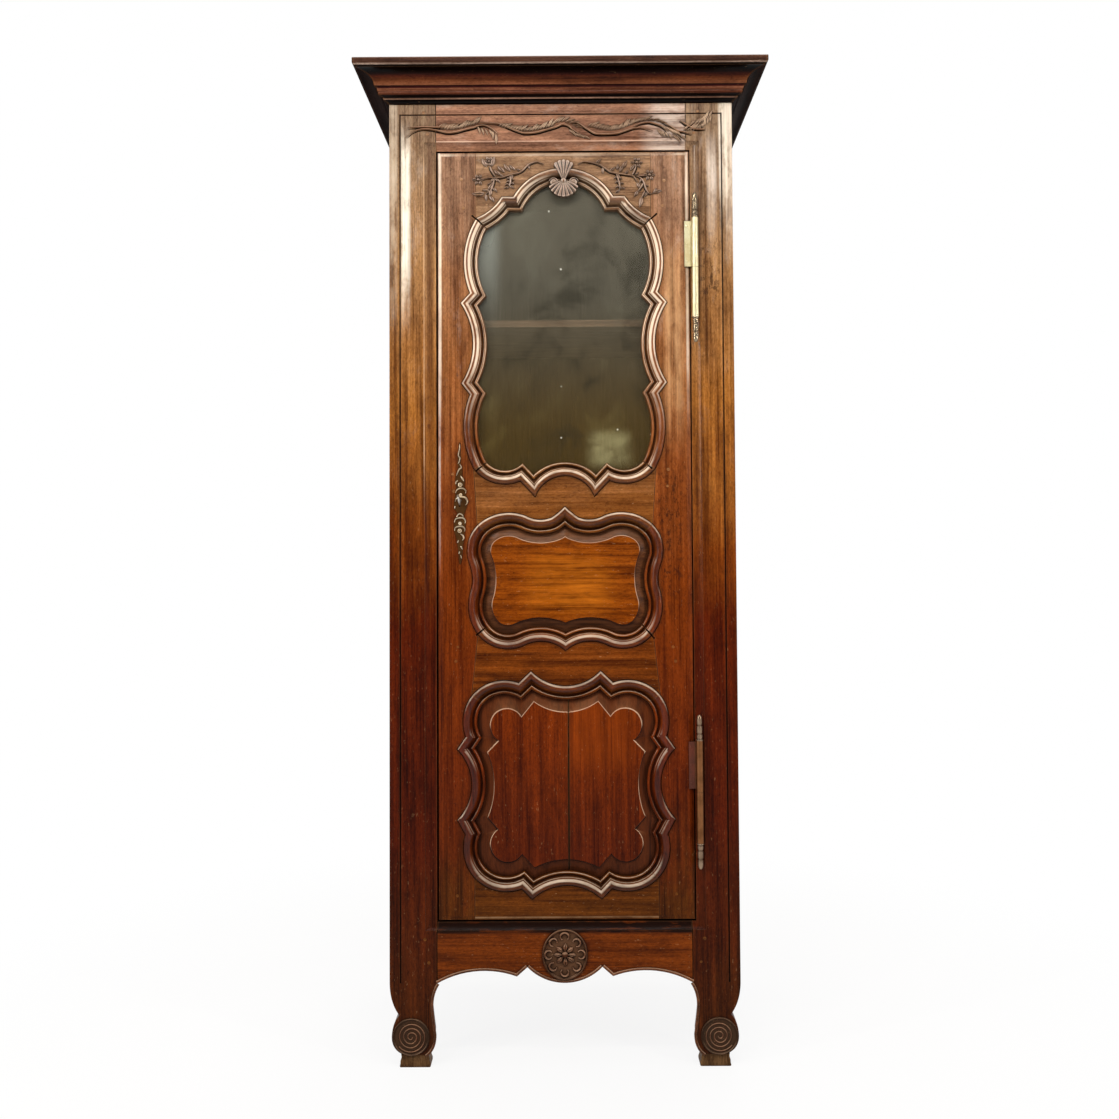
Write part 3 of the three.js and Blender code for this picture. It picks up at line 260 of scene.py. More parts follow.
def solid(name, points, faces):
    """An object from corners in millimetres, with its faces turned outwards."""
    if swept_volume(points, faces) < 0:
        faces = [tuple(reversed(face)) for face in faces]
    mesh = bpy.data.meshes.new(name)
    mesh.from_pydata([Vector(point) * MM for point in points], [], faces)
    mesh.validate()
    return in_scene(name, mesh)


def loft(rings, looped=False):
    """Corners and faces of a skin through rings that have the same number of points."""
    count = len(rings[0])
    points = [tuple(point) for ring in rings for point in ring]
    bands = len(rings) if looped else len(rings) - 1
    faces = []
    for band in range(bands):
        here = band * count
        there = (band + 1) % len(rings) * count
        for step in range(count):
            after = (step + 1) % count
            faces.append((here + step, here + after, there + after, there + step))
    if not looped:
        faces.append(tuple(reversed(range(count))))
        faces.append(tuple(range(len(points) - count, len(points))))
    return points, faces


def lofted(name, rings, looped=False):
    return solid(name, *loft(rings, looped))


def gathered(name, skins):
    """One object from several closed skins."""
    points = []
    faces = []
    for skin_points, skin_faces in skins:
        if swept_volume(skin_points, skin_faces) < 0:
            skin_faces = [tuple(reversed(face)) for face in skin_faces]
        start = len(points)
        points.extend(skin_points)
        faces.extend(tuple(corner + start for corner in face) for face in skin_faces)
    return solid(name, points, faces)


def rectangle(x0, x1, z0, z1, y, inset=0):
    """The corners of an upright rectangle, moved inwards."""
    left, right, low, high = x0 + inset, x1 - inset, z0 + inset, z1 - inset
    return [(left, y, low), (right, y, low), (right, y, high), (left, y, high)]


def block(x0, x1, y0, y1, z0, z1, eased=0.0):
    """Rings of a squared piece of wood or metal, its edges along Y eased."""
    depths = [(y0, eased), (y0 + eased, 0), (y1 - eased, 0), (y1, eased)] if eased else [(y0, 0), (y1, 0)]
    return [rectangle(x0, x1, z0, z1, y, inset) for y, inset in depths]


def fresh_mesh(thing):
    graph = bpy.context.evaluated_depsgraph_get()
    return bpy.data.meshes.new_from_object(thing.evaluated_get(graph))


def forget(*things):
    for thing in things:
        mesh = thing.data
        bpy.data.objects.remove(thing)
        if mesh and not mesh.users:
            bpy.data.meshes.remove(mesh)


def worked(base, steps):
    """The base after cuts, joins and trims, which are given as pairs of a kind and a solid."""
    for kind, tool in steps:
        modifier = base.modifiers.new(kind, "BOOLEAN")
        modifier.operation = kind
        modifier.solver = "MANIFOLD"
        modifier.object = tool
    mesh = fresh_mesh(base)
    base.modifiers.clear()
    old = base.data
    base.data = mesh
    bpy.data.meshes.remove(old)
    forget(*{tool for _, tool in steps})
    return base


def copied(thing):
    return in_scene(thing.name, thing.data.copy())


def placed(thing, name, body, finish, nodes=(), angle=32):
    """Name a finished piece, dress it, and let it ride on its body in place of its solids."""
    thing.name = name
    mesh = thing.data
    mesh.name = name
    mesh.materials.clear()
    mesh.materials.append(finish)
    mesh.shade_smooth()
    mesh.set_sharp_from_angle(angle=radians(angle))
    even = thing.modifiers.new("flat_faces", "WEIGHTED_NORMAL")
    even.mode = "FACE_AREA"
    even.weight = 80
    even.keep_sharp = True
    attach(thing, body)
    if nodes:
        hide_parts(*nodes)
    return thing


def smooth_path(corners, steps=6):
    """Points along a smooth line through the given ones."""
    spots = vectors(corners)
    line = []
    for i in range(len(spots) - 1):
        before = spots[max(i - 1, 0)]
        start, end = spots[i], spots[i + 1]
        after = spots[min(i + 2, len(spots) - 1)]
        for k in range(steps):
            t = k / steps
            line.append(0.5 * (
                2 * start + (end - before) * t
                + (2 * before - 5 * start + 4 * end - after) * t * t
                + (3 * start - before - 3 * end + after) * t ** 3
            ))
    line.append(spots[-1])
    return line


def left_normals(path):
    """At each point of a line, the direction to its left."""
    last = len(path) - 1
    normals = []
    for i in range(len(path)):
        ahead = path[min(i + 1, last)] - path[max(i - 1, 0)]
        normals.append(Vector((-ahead.y, ahead.x)).normalized())
    return normals


def ridge(path, width, height, y, blunt=0.12, sunk=0.6, flat_ends=False):
    """A carved half round line that stands on the plane y and runs out at its ends."""
    rings = []
    for i, (spot, side) in enumerate(zip(path, left_normals(path))):
        swell = 1.0 if flat_ends else max(blunt, sin(pi * i / (len(path) - 1)) ** 0.6)
        wide = width / 2 * swell
        tall = height * (0.35 + 0.65 * swell)
        section = [
            (-1, -sunk), (-0.92, 0.35 * tall), (-0.45, 0.9 * tall), (0, tall),
            (0.45, 0.9 * tall), (0.92, 0.35 * tall), (1, -sunk),
        ]
        rings.append([
            (spot.x + side.x * across * wide, y - up, spot.y + side.y * across * wide)
            for across, up in section
        ])
    return loft(rings)


def groove(path, width, depth, y):
    """A cutter for a tapering channel in the plane y, as a gouge leaves it."""
    rings = []
    last = len(path) - 1
    for i, (spot, side) in enumerate(zip(path, left_normals(path))):
        swell = 0.15 + 0.85 * sin(pi * i / last) ** 0.5 if 0 < i < last else 0.15
        half_width, deep = width * swell / 2, depth * swell
        section = [(-1.2, -1), (1.2, -1), (0.5, deep * 0.6), (0, deep), (-0.5, deep * 0.6)]
        rings.append([
            (spot.x + side.x * across * half_width, y + down, spot.y + side.y * across * half_width)
            for across, down in section
        ])
    return loft(rings)


def below(rows, drop):
    """The same line moved to its lower side."""
    path = smooth_path(rows)
    return [spot - side * copysign(drop, side.y or 1) for spot, side in zip(path, left_normals(path))]


def leaf_skin(length, width, height, bend=0.0, rows=7, sunk=0.8, stalk=0.2):
    """A carved leaf along X with a channel down its middle, for lying on a face."""
    rings = []
    for i in range(rows + 1):
        share = i / rows
        half_width = width / 2 * max(0.06, sin(pi * share ** 0.75)) * (1 - stalk * (1 - share))
        x = length * share
        middle = bend * sin(pi * share / 2) * length
        tall = height * max(0.25, sin(pi * (0.12 + 0.8 * share)))
        rings.append([
            (x, middle - half_width, -sunk), (x, middle - half_width * 0.75, tall * 0.8),
            (x, middle - half_width * 0.3, tall), (x, middle, tall * 0.55),
            (x, middle + half_width * 0.3, tall), (x, middle + half_width * 0.75, tall * 0.8),
            (x, middle + half_width, -sunk),
        ])
    return loft(rings)


def turned_skin(rows, x, y, z, segments, axis="Z"):
    """A turned shape from rows of radius and distance along its axis. Its ends are closed to a point."""
    rings = []
    for radius, along in rows:
        ring = []
        reach = max(radius, 0.01)
        for angle in round_steps(segments):
            across, up = reach * cos(angle), reach * sin(angle)
            if axis == "Z":
                ring.append((x + across, y + up, z + along))
            else:
                ring.append((x + across, y + along, z + up))
        rings.append(ring)
    return loft(rings)


# Outlines made of straight sides and arcs


def whole_outline(shares, size, sill_bulge):
    half_width, height, bottom = size
    right = [[Vector((x * half_width, bottom + z * height)), bulge] for x, z, bulge in shares]
    left = []
    for i, (point, _) in enumerate(right):
        left.append([Vector((-point.x, point.y)), sill_bulge if i == 0 else right[i - 1][1]])
    left.reverse()
    if right[-1][0].x == 0:
        right[-1][1] = left[0][1]
        left.pop(0)
    if right[0][0].x == 0:
        left.pop()
    return [tuple(corner) for corner in right + left]


def side_of(start, end):
    """A straight side as its origin and left normal, or an arc as its centre and signed radius."""
    (a, bulge), (b, _) = start, end
    chord = b - a
    length = chord.length
    left = Vector((-chord.y, chord.x)) / length
    if bulge == 0:
        return {"origin": a, "left": left}
    radius = length * (1 + bulge ** 2) / (4 * bulge)
    return {"centre": (a + b) / 2 + left * (radius - bulge * length / 2), "radius": radius}


def left_of(side, point):
    """How far a point lies left of a side, and the direction in which that grows."""
    if "left" in side:
        return (point - side["origin"]).dot(side["left"]), side["left"]
    away = point - side["centre"]
    sign = copysign(1, side["radius"])
    return side["radius"] - sign * away.length, away.normalized() * -sign


def inset_corner(point, before, after, inset):
    _, first = left_of(before, point)
    _, second = left_of(after, point)
    place = point + (first + second) * (inset / (1 + first.dot(second)))
    if abs(first.cross(second)) < SMOOTH_SINE:
        return place
    for _ in range(CORNER_ROUNDS):
        distance_before, normal_before = left_of(before, place)
        distance_after, normal_after = left_of(after, place)
        cross = normal_before.cross(normal_after)
        miss_before = inset - distance_before
        miss_after = inset - distance_after
        place = place + Vector((
            (miss_before * normal_after.y - miss_after * normal_before.y) / cross,
            (miss_after * normal_before.x - miss_before * normal_after.x) / cross,
        ))
    return place


def outline_sides(outline):
    return [side_of(corner, outline[(i + 1) % len(outline)]) for i, corner in enumerate(outline)]


def inset_corners(outline, inset):
    sides = outline_sides(outline)
    return [inset_corner(corner[0], sides[i - 1], sides[i], inset) for i, corner in enumerate(outline)]


def outline_points(outline, inset, pattern=None):
    """Points round an outline, moved inwards. The arcs take as many steps as the pattern needs."""
    pattern = pattern or outline
    corners = inset_corners(outline, inset)
    sides = outline_sides(outline)
    points = []
    for i, side in enumerate(sides):
        start = corners[i]
        end = corners[(i + 1) % len(corners)]
        steps = max(1, ceil(abs(4 * atan(pattern[i][1])) / ARC_STEP))
        points.append(start)
        if "left" in side:
            points.extend(start.lerp(end, k / steps) for k in range(1, steps))
            continue
        first = start - side["centre"]
        last = end - side["centre"]
        sweep = atan2(first.cross(last), first.dot(last))
        turn = atan2(first.y, first.x)
        for k in range(1, steps):
            share = k / steps
            radius = first.length + (last.length - first.length) * share
            angle = turn + sweep * share
            points.append(side["centre"] + Vector((cos(angle), sin(angle))) * radius)
    return points


def ring_at(points, depth):
    """A flat outline placed at a depth behind the face of the door."""
    return [(point.x + DOOR_CENTRE, DOOR_FRONT_Y + depth, point.y) for point in points]


def around(opening, from_sight):
    """Points round an opening, so far inside its sight line, or straight across its moulding."""
    outline, sight = opening["outline"], opening["sight"]
    if from_sight > 0:
        return outline_points(outline, sight + from_sight)
    outer = outline_points(outline, sight - MOULD_WIDTH)
    inner = outline_points(outline, sight)
    return [one.lerp(two, 1 + from_sight / MOULD_WIDTH) for one, two in zip(outer, inner)]


# The openings of the door, with the corners at which its stiles meet its rails, low and high
GLAZED = {"outline": whole_outline(WINDOW, WINDOW_SIZE, WINDOW_SILL), "sight": 0, "low": 2, "high": 7}
MIDDLE_OPENING = {
    "outline": whole_outline(MIDDLE, MIDDLE_SIZE, 0), "sight": MOULD_WIDTH, "low": 2, "high": 5,
}
LOWER_OPENING = {
    "outline": whole_outline(LOWER, LOWER_SIZE, LOWER_SILL), "sight": MOULD_WIDTH, "low": 2, "high": 7,
}
OPENINGS = [GLAZED, MIDDLE_OPENING, LOWER_OPENING]
FIELD_OUTLINE = whole_outline(FIELD, LOWER_SIZE, FIELD_SILL)


def eased_outline(points, inset):
    """A flat outline with every side moved inwards a little."""
    area = sum(points[i - 1].cross(points[i]) for i in range(len(points)))
    sign = copysign(1, area)
    moved = []
    for i, point in enumerate(points):
        before = (point - points[i - 1]).normalized()
        after = (points[(i + 1) % len(points)] - point).normalized()
        first = Vector((-before.y, before.x)) * sign
        second = Vector((-after.y, after.x)) * sign
        moved.append(point + (first + second) * (inset / max(0.4, 1 + first.dot(second))))
    return moved


def board(name, points, y0, y1, eased=EASED):
    """A board with an outline in X and Z, and eased edges front and back."""
    steps = [(y0, eased), (y0 + eased * 0.3, eased * 0.3), (y0 + eased, 0), (y1 - eased, 0), (y1, eased)]
    rings = []
    for y, inset in steps:
        edge = eased_outline(points, inset) if inset else points
        rings.append([(point.x, y, point.y) for point in edge])
    return lofted(name, rings)


def prism(name, points, y0, y1):
    return lofted(name, [[(point.x, y, point.y) for point in points] for y in (y0, y1)])


# Node trees, for finishes and for what repeats


class Wire:
    """One output in a node tree. Sums written with it add the Math nodes that work them out."""

    def __init__(self, tree, socket):
        self.tree = tree
        self.socket = socket

    def node(self, kind, settings=None, inputs=None, out=0):
        return add_node(self.tree, kind, settings, inputs, out)

    def other(self, name):
        """Another output of the same node."""
        return Wire(self.tree, self.socket.node.outputs[name])

    def maths(self, operation, one, two=0.0):
        return self.node("ShaderNodeMath", {"operation": operation}, {0: one, 1: two})

    def __add__(self, value):
        return self.maths("ADD", self, value)

    def __radd__(self, value):
        return self.maths("ADD", value, self)

    def __sub__(self, value):
        return self.maths("SUBTRACT", self, value)

    def __rsub__(self, value):
        return self.maths("SUBTRACT", value, self)

    def __mul__(self, value):
        return self.maths("MULTIPLY", self, value)

    def __mod__(self, value):
        return self.maths("MODULO", self, value)

    def __abs__(self):
        return self.maths("ABSOLUTE", self)

    def __gt__(self, value):
        """1 where this value is the greater one, otherwise 0."""
        return self.maths("GREATER_THAN", self, value)

    def fraction(self):
        return self.maths("FRACT", self)

    def at_most(self, value):
        return self.maths("MINIMUM", self, value)

    def at_least(self, value):
        return self.maths("MAXIMUM", self, value)

    def between(self, low, high):
        """This value spread smoothly from 0 at low to 1 at high."""
        settings = {"interpolation_type": "SMOOTHSTEP"}
        inputs = {"Value": self, "From Min": low, "From Max": high}
        return self.node("ShaderNodeMapRange", settings, inputs)

    def near(self, middle, reach):
        """1 where this value is at the middle, running out to 0 at the reach."""
        return 1 - abs(self - middle).between(reach * 0.35, reach)

    def axes(self):
        """The X, Y and Z of a place or a direction."""
        across = self.node("ShaderNodeSeparateXYZ", None, {0: self}, out="X")
        return across, across.other("Y"), across.other("Z")


def add_node(tree, kind, settings=None, inputs=None, out=0):
    """A node with its settings first, then the values or links of its sockets."""
    node = tree.nodes.new(kind)
    for name, value in (settings or {}).items():
        if name == "stops":
            set_stops(node.color_ramp, value)
        else:
            setattr(node, name, value)
    for name, value in (inputs or {}).items():
        if isinstance(value, Wire):
            tree.links.new(value.socket, node.inputs[name])
        else:
            node.inputs[name].default_value = value
    return Wire(tree, node.outputs[out])


def end_node(kind, wire):
    """The last node of a tree, with its first socket linked."""
    output = wire.tree.nodes.new(kind)
    wire.tree.links.new(wire.socket, output.inputs[0])


def set_stops(ramp, stops):
    while len(ramp.elements) < len(stops):
        ramp.elements.new(0.5)
    for element, (place, colour) in zip(ramp.elements, stops):
        element.position = place
        element.color = tint(colour)


def tint(code):
    """A colour from its six hex digits, as light. What is a colour already stays as it is."""
    if not isinstance(code, str):
        return code
    shares = [int(code[i:i + 2], 16) / 255 for i in (0, 2, 4)]
    light = [s / 12.92 if s <= 0.04045 else ((s + 0.055) / 1.055) ** 2.4 for s in shares]
    return (*light, 1.0)


class Finish:
    """The node tree of one material, with the patterns that a polisher would name."""

    def __init__(self, name):
        self.material = bpy.data.materials.new(name)
        self.material.use_nodes = True
        self.tree = self.material.node_tree
        self.tree.nodes.clear()
        self.place = self.node("ShaderNodeTexCoord", out="Object")
        self.x, self.y, self.height = self.place.axes()

    def node(self, kind, settings=None, inputs=None, out=0):
        return add_node(self.tree, kind, settings, inputs, out)

    def stretched(self, shares, offset=(0, 0, 0)):
        """The place on the piece, squeezed along the grain."""
        inputs = {"Vector": self.place, "Scale": shares, "Location": offset}
        return self.node("ShaderNodeMapping", None, inputs)

    def stepped(self, place, seam, jump):
        """A place that jumps past the joint of two boards, so that their figure doesn't run on."""
        shift = (self.x > seam) * jump
        step = self.node("ShaderNodeCombineXYZ", None, {"X": shift, "Y": shift})
        return self.node("ShaderNodeVectorMath", {"operation": "ADD"}, {0: place, 1: step})

    def cloud(self, vector, scale, detail=2.0, rough=0.5, distortion=0.0):
        inputs = {
            "Vector": vector, "Scale": scale, "Detail": detail, "Roughness": rough, "Distortion": distortion,
        }
        return self.node("ShaderNodeTexNoise", None, inputs)

    def dots(self, vector, scale):
        """How far each spot lies from the middle of its own dot."""
        inputs = {"Vector": vector, "Scale": scale, "Randomness": 1.0}
        return self.node("ShaderNodeTexVoronoi", {"feature": "F1"}, inputs, out="Distance")

    def ramp(self, value, *stops):
        return self.node("ShaderNodeValToRGB", {"stops": stops}, {"Fac": value})

    def mix(self, share, one, two, blend="MIX"):
        """Two colours laid over one another."""
        return self.node(
            "ShaderNodeMix", {"data_type": "RGBA", "blend_type": blend}, {0: share, 6: tint(one), 7: tint(two)},
            out=2,
        )

    def lay(self, share, colour):
        """Another colour over the first, as far as the share goes."""
        self.colour = self.mix(share, self.colour, colour)

    def bump(self, height, strength, distance, under=None):
        inputs = {"Height": height, "Strength": strength, "Distance": distance}
        if under:
            inputs["Normal"] = under
        return self.node("ShaderNodeBump", None, inputs)

    def hollows(self, reach):
        """1 on open faces, less in the corners, cuts and gaps between parts, where dust and old wax gather; on
        wood, darkening by it is painted shade as well.
        """
        settings = {"samples": 6, "only_local": False}
        return self.node("ShaderNodeAmbientOcclusion", settings, {"Distance": reach}, out="AO")

    def edges(self, reach):
        """1 on sharp corners that stand out and get rubbed, 0 on flat faces."""
        settings = {"samples": 6, "only_local": True, "inside": True}
        return 1 - self.node("ShaderNodeAmbientOcclusion", settings, {"Distance": reach}, out="AO")

    def done(self, **sockets):
        shader = self.node("ShaderNodeBsdfPrincipled", None, {
            name.replace("_", " "): value for name, value in sockets.items()
        })
        end_node("ShaderNodeOutputMaterial", shader)
        return self.material


# Finishes


TALL = 2.1
GRAIN_AXES = {"up": 2, "across": 0, "back": 1}
GREY_LOW = (0.3, 0.24, 0.2, 1.0)
GREY_MID = (0.72, 0.7, 0.68, 1.0)
WHITE = (1.0, 1.0, 1.0, 1.0)
GLOW = (1.35, 1.4, 1.5, 1.0)


def squeezed(grain, share):
    """The shares by which a pattern is drawn out along the grain."""
    shares = [1, 1, 1]
    shares[GRAIN_AXES[grain]] = share
    return shares


class WaxedWood(Finish):
    """Old waxed walnut: its figure first, then one stain, streak, polish, painted light or painted shade over
    another.
    """

    def __init__(self, name, grain, offset):
        super().__init__(name)
        self.grain = grain
        self.face_grain = "up" if grain == "up" else "across"
        self.offset = offset
        along = self.stretched(squeezed(grain, 0.018), offset)
        self.fibre = self.cloud(along, 420.0, 4.0, 0.65)
        self.streak = self.cloud(along, 120.0, 4.0, 0.65)
        pore = self.cloud(self.stretched(squeezed(grain, 0.06), offset), 900.0, 2.0, 0.5)
        self.pore_mark = pore.between(0.62, 0.72)
        self.patch = self.cloud(self.place, 5.5, 4.0, 0.6)
        self.spots = self.cloud(self.place, 70.0, 3.0, 0.7)
        self.smear = self.cloud(self.stretched(squeezed(grain, 0.35), (6, 2, 5)), 34.0, 6.0, 0.7)
        self.polish = 0.0
        self.raised = 1.0

    def stain(self, share, code):
        """A stain that the wood's own colour shows through."""
        self.lay(share, self.mix(1.0, self.colour, code, "MULTIPLY"))

    def facing(self):
        """How far a face looks to the side, and how far it looks up."""
        aside, _, above = self.node("ShaderNodeTexCoord", out="Normal").axes()
        return aside, above

    def lay_figure(self, levels, span, figure, sway, flame, contrast, drift, step_x):
        """The colour of each height, lighter and darker with the figure of the wood."""
        place = self.stretched(squeezed(self.grain, 0.07), self.offset)
        if step_x is not None:
            place = self.stepped(place, step_x, 3.7)
        bands = self.node("ShaderNodeTexWave", {"wave_type": "BANDS", "bands_direction": "DIAGONAL"}, {
            "Vector": place, "Scale": figure, "Distortion": sway, "Detail": 4.0, "Detail Scale": 2.2,
            "Detail Roughness": 0.65,
        }, out="Fac")
        broad = self.cloud(place, 7.0, 4.0, 0.6)
        tone = bands * 0.1 + broad * 0.26 + self.streak * 0.5 + self.fibre * 0.38 - 0.12
        if flame:
            ripple = self.cloud(self.stretched((0.5, 1, 2.4)), 26.0, 3.0, 0.6, 1.4)
            tone = tone + (ripple - 0.5) * flame
        tone = (tone - 0.5) * contrast + 0.5
        self.shade = self.ramp(tone, (0.36, GREY_LOW), (0.5, GREY_MID), (0.62, WHITE), (0.72, GLOW))
        # The levels by height hold painted light and shade with the wood's own colour: paler and greyer high
        # up, where a window above lights the front and reflects in its wax, and darker low down, where less
        # light falls.
        low, high = span
        stops = [((z - low) / (high - low), code) for z, code in levels]
        wander = self.height + (self.patch - 0.5) * (0.35 * drift) + (self.streak - 0.5) * (0.25 * drift)
        by_height = self.ramp((wander - low) * (1 / (high - low)), *stops)
        self.colour = self.mix(1.0, by_height, self.shade, "MULTIPLY")

    def lay_age(self, specks, painted_sheen):
        """Pores, spots, grit and smears, pale patches of painted sheen higher up, and light and dark flecks."""
        self.stain(self.pore_mark * 0.45, "5a4030")
        self.stain(self.spots.between(0.6, 0.78) * 0.55, "6a4a3a")
        grit = self.cloud(self.stretched(squeezed(self.grain, 0.35), (1, 4, 2)), 300.0, 5.0, 0.8)
        self.stain((1 - grit.between(0.36, 0.6)) * 0.42, "6a4c38")
        self.stain((1 - self.smear.between(0.3, 0.55)) * 0.5, "7c6050")
        # Pale patches higher up: painted sheen, the reflection of a window in the wax.
        self.lay(self.smear.between(0.54, 0.76) * self.height.between(1.1, 1.75) * painted_sheen, "e4d4c4")
        fleck = self.cloud(self.stretched(squeezed(self.face_grain, 0.4), (3, 3, 3)), 210.0, 3.0, 0.7)
        light_fleck = fleck.between(0.64, 0.72) * (0.5 * specks)
        self.lay(light_fleck, self.mix(0.5, self.colour, "d8a878", "SCREEN"))
        self.stain((1 - fleck.between(0.26, 0.36)) * 0.6, "504030")

    def lay_pits(self, x, z, reach_x, reach_z, code):
        """A patch of dark pits."""
        where = self.x.near(x, reach_x) * self.height.near(z, reach_z)
        pitted = self.cloud(self.stretched((1, 1, 0.5)), 95.0, 4.0, 0.75).between(0.5, 0.62) * where
        self.lay(pitted * 0.75, code)

    def lay_sunk(self, near_y, far_y, code):
        """Painted shade on the slope and the border round a raised field, which sit back from its face."""
        deep = self.mix(self.shade, "140804", code)
        self.lay(self.y.between(near_y, far_y) * 0.8, deep)

    def lay_heart(self, x, z, reach_x, reach_z, share, code):
        """The warm middle of a raised field."""
        where = self.x.near(x, reach_x) * self.height.near(z, reach_z)
        where = where * (0.4 + self.patch.between(0.3, 0.6) * 0.6) * (1 - self.y.between(*FIELD_END))
        self.lay(where * share, self.mix(1.0, code, self.shade, "MULTIPLY"))

    def lay_rim(self, rim):
        """The sharp step round a raised field, with a painted highlight where it looks up and painted black
        shadow where it looks down.
        """
        _, above = self.facing()
        line = self.y.between(rim - 0.0002, rim) * (1 - self.y.between(rim + 0.0008, rim + 0.0011))
        under = (above * -1).between(-0.05, 0.15)
        self.lay(line * (1 - under) * (0.4 + self.patch.between(0.3, 0.6) * 0.4), "dcb898")
        self.lay(line * under, "0c0402")

    def lay_painted_streak_or_joint(self, axis, middle, reach, low, high, share, code):
        """A broken streak between two heights. Light ones are painted highlights and reflections, dark ones
        painted shadow, save the dark joint between the boards of the lower panel.
        """
        across = self.x if axis == "X" else self.height
        fade = 1 - self.height.between(high - 0.1, high)
        broken = 0.1 + self.streak.between(0.35, 0.6) * 0.7 + self.smear.between(0.38, 0.58) * 0.7
        band = across.near(middle, reach) * self.height.between(low, low + 0.22) * fade * broken
        self.lay((band * share).at_most(1.0), code)

    def lay_incised(self, face, floor_z):
        """Painted shade, dark, in the line cut into the frame and in the hollow across its top."""
        reach = abs(self.x)
        sunken = self.y.between(face + 0.0003, face + 0.0012)
        sunken = sunken * (1 - self.y.between(face + 0.0024, face + 0.003))
        line = reach.near((HALF - LINE_INSET) * MM, LINE_WIDTH * MM)
        inside = 1 - reach.between(HALF * MM - 0.004, HALF * MM - 0.002)
        inner = self.height.between(floor_z, floor_z + 0.004) * inside
        self.lay(sunken * line.at_least(inner) * 0.85, "140603")

    def lay_moulding(self, proud):
        """Polish where a moulding stands out, and painted shade in its hollow."""
        self.polish = 1 - self.y.between(proud, proud + 0.0014)
        bead = self.y.near(proud + 0.0042, 0.0013)
        self.raised = self.polish.at_least(bead * 0.8)
        # Painted shade in the cove of the moulding.
        cove = self.y.between(proud + 0.0052, proud + 0.0085) * 0.65
        self.lay(cove, self.mix(0.35, "1c0a04", self.colour))
        self.stain(self.polish * 0.5, "b0805c")

    def lay_light(self, lit, shaded, lit_tint):
        """Painted light on faces of carving and mouldings that look up or aside, and painted shade on those
        that look down.
        """
        aside, above = self.facing()
        upper = above.between(0.1, 0.42) * (1 - above.between(0.93, 0.99))
        upper = upper * (1 - self.height.between(1.6, 1.8) * 0.5)
        side = abs(aside).between(0.1, 0.4) * self.height.between(1.3, 1.58) * 1.6
        strength = 0.2 + self.patch.between(0.3, 0.65) * 0.4 + self.smear.between(0.35, 0.65) * 0.5
        strength = strength * (0.6 + self.height.between(0.9, 1.3) * 0.5)
        bright = upper.at_least(side) * self.raised * strength
        self.lay((bright * lit).at_most(0.95), lit_tint)
        self.lay((above * -1).between(0.1, 0.6) * shaded, "180904")

    def polished(self, sheen, dust_and_shade, wear, worn, shine):
        """Dust and painted shade in the corners and gaps, rubbed edges, dents, and the wax over all."""
        # Corners and gaps between parts are darkened, for the dust and old wax in them and as painted shade.
        hollow_darkening = ((1 - self.hollows(0.009)) * dust_and_shade * 1.5).at_most(1.0)
        self.lay(hollow_darkening, "0a0302")
        rub = self.edges(0.0035).between(0.08, 0.5) * (self.height.between(0.2, 1.7) * 0.7 + 0.3)
        rub = rub * wear * (0.4 + self.patch) * (1 - hollow_darkening)
        self.lay(rub, self.mix(0.5, self.colour, worn))
        roughness = sheen + self.fibre * 0.1 + self.patch * 0.2 + hollow_darkening * 0.3 - 0.12
        wavy = self.cloud(self.stretched(squeezed(self.face_grain, 0.3)), 18.0, 2.0, 0.5)
        relief = self.spots.between(0.64, 0.74) * -1.0 + self.fibre * 0.35 - self.pore_mark * 0.5
        dents = self.bump(relief, 0.4, 0.0006, self.bump(wavy, 0.5, 0.003))
        coat = (self.height.between(0.9, 1.9) * 0.4 + 0.02 + self.polish * 0.35) * shine
        return self.done(
            Base_Color=self.colour, Roughness=roughness, Normal=dents, Coat_Weight=coat * (1 - hollow_darkening),
            Coat_Roughness=0.2, Coat_IOR=1.45, Specular_IOR_Level=0.05 * shine,
        )


def waxed_wood(name, grain, levels, offset=(0, 0, 0), span=(0.0, TALL), figure=15, sway=5.0, flame=0.0,
               contrast=1.0, drift=1.0, step_x=None, specks=1.0, painted_sheen=0.18, pits=None, sunk=None,
               heart=None, rim=None, painted_streaks_and_joints=(), incised=None, proud=None, lit=0.0, shaded=0.0,
               lit_tint="dcc8b8", sheen=0.32, dust_and_shade=0.9, wear=0.4, worn="c88a54", shine=1.0):
    """Old waxed walnut. Its colour changes with the height, as given by levels of height and colour."""
    wood = WaxedWood(name, grain, offset)
    wood.lay_figure(levels, span, figure, sway, flame, contrast, drift, step_x)
    wood.lay_age(specks, painted_sheen)
    if pits:
        wood.lay_pits(*pits)
    if sunk:
        wood.lay_sunk(*sunk)
    if heart:
        wood.lay_heart(*heart)
    if rim:
        wood.lay_rim(rim)
    # Painted highlights, reflections and shadows in streaks, and the dark joint of the lower panel.
    for streak_row in painted_streaks_and_joints:
        wood.lay_painted_streak_or_joint(*streak_row)
    if incised:
        wood.lay_incised(*incised)
    if proud:
        wood.lay_moulding(proud)
    if lit or shaded:
        wood.lay_light(lit, shaded, lit_tint)
    return wood.polished(sheen, dust_and_shade, wear, worn, shine)


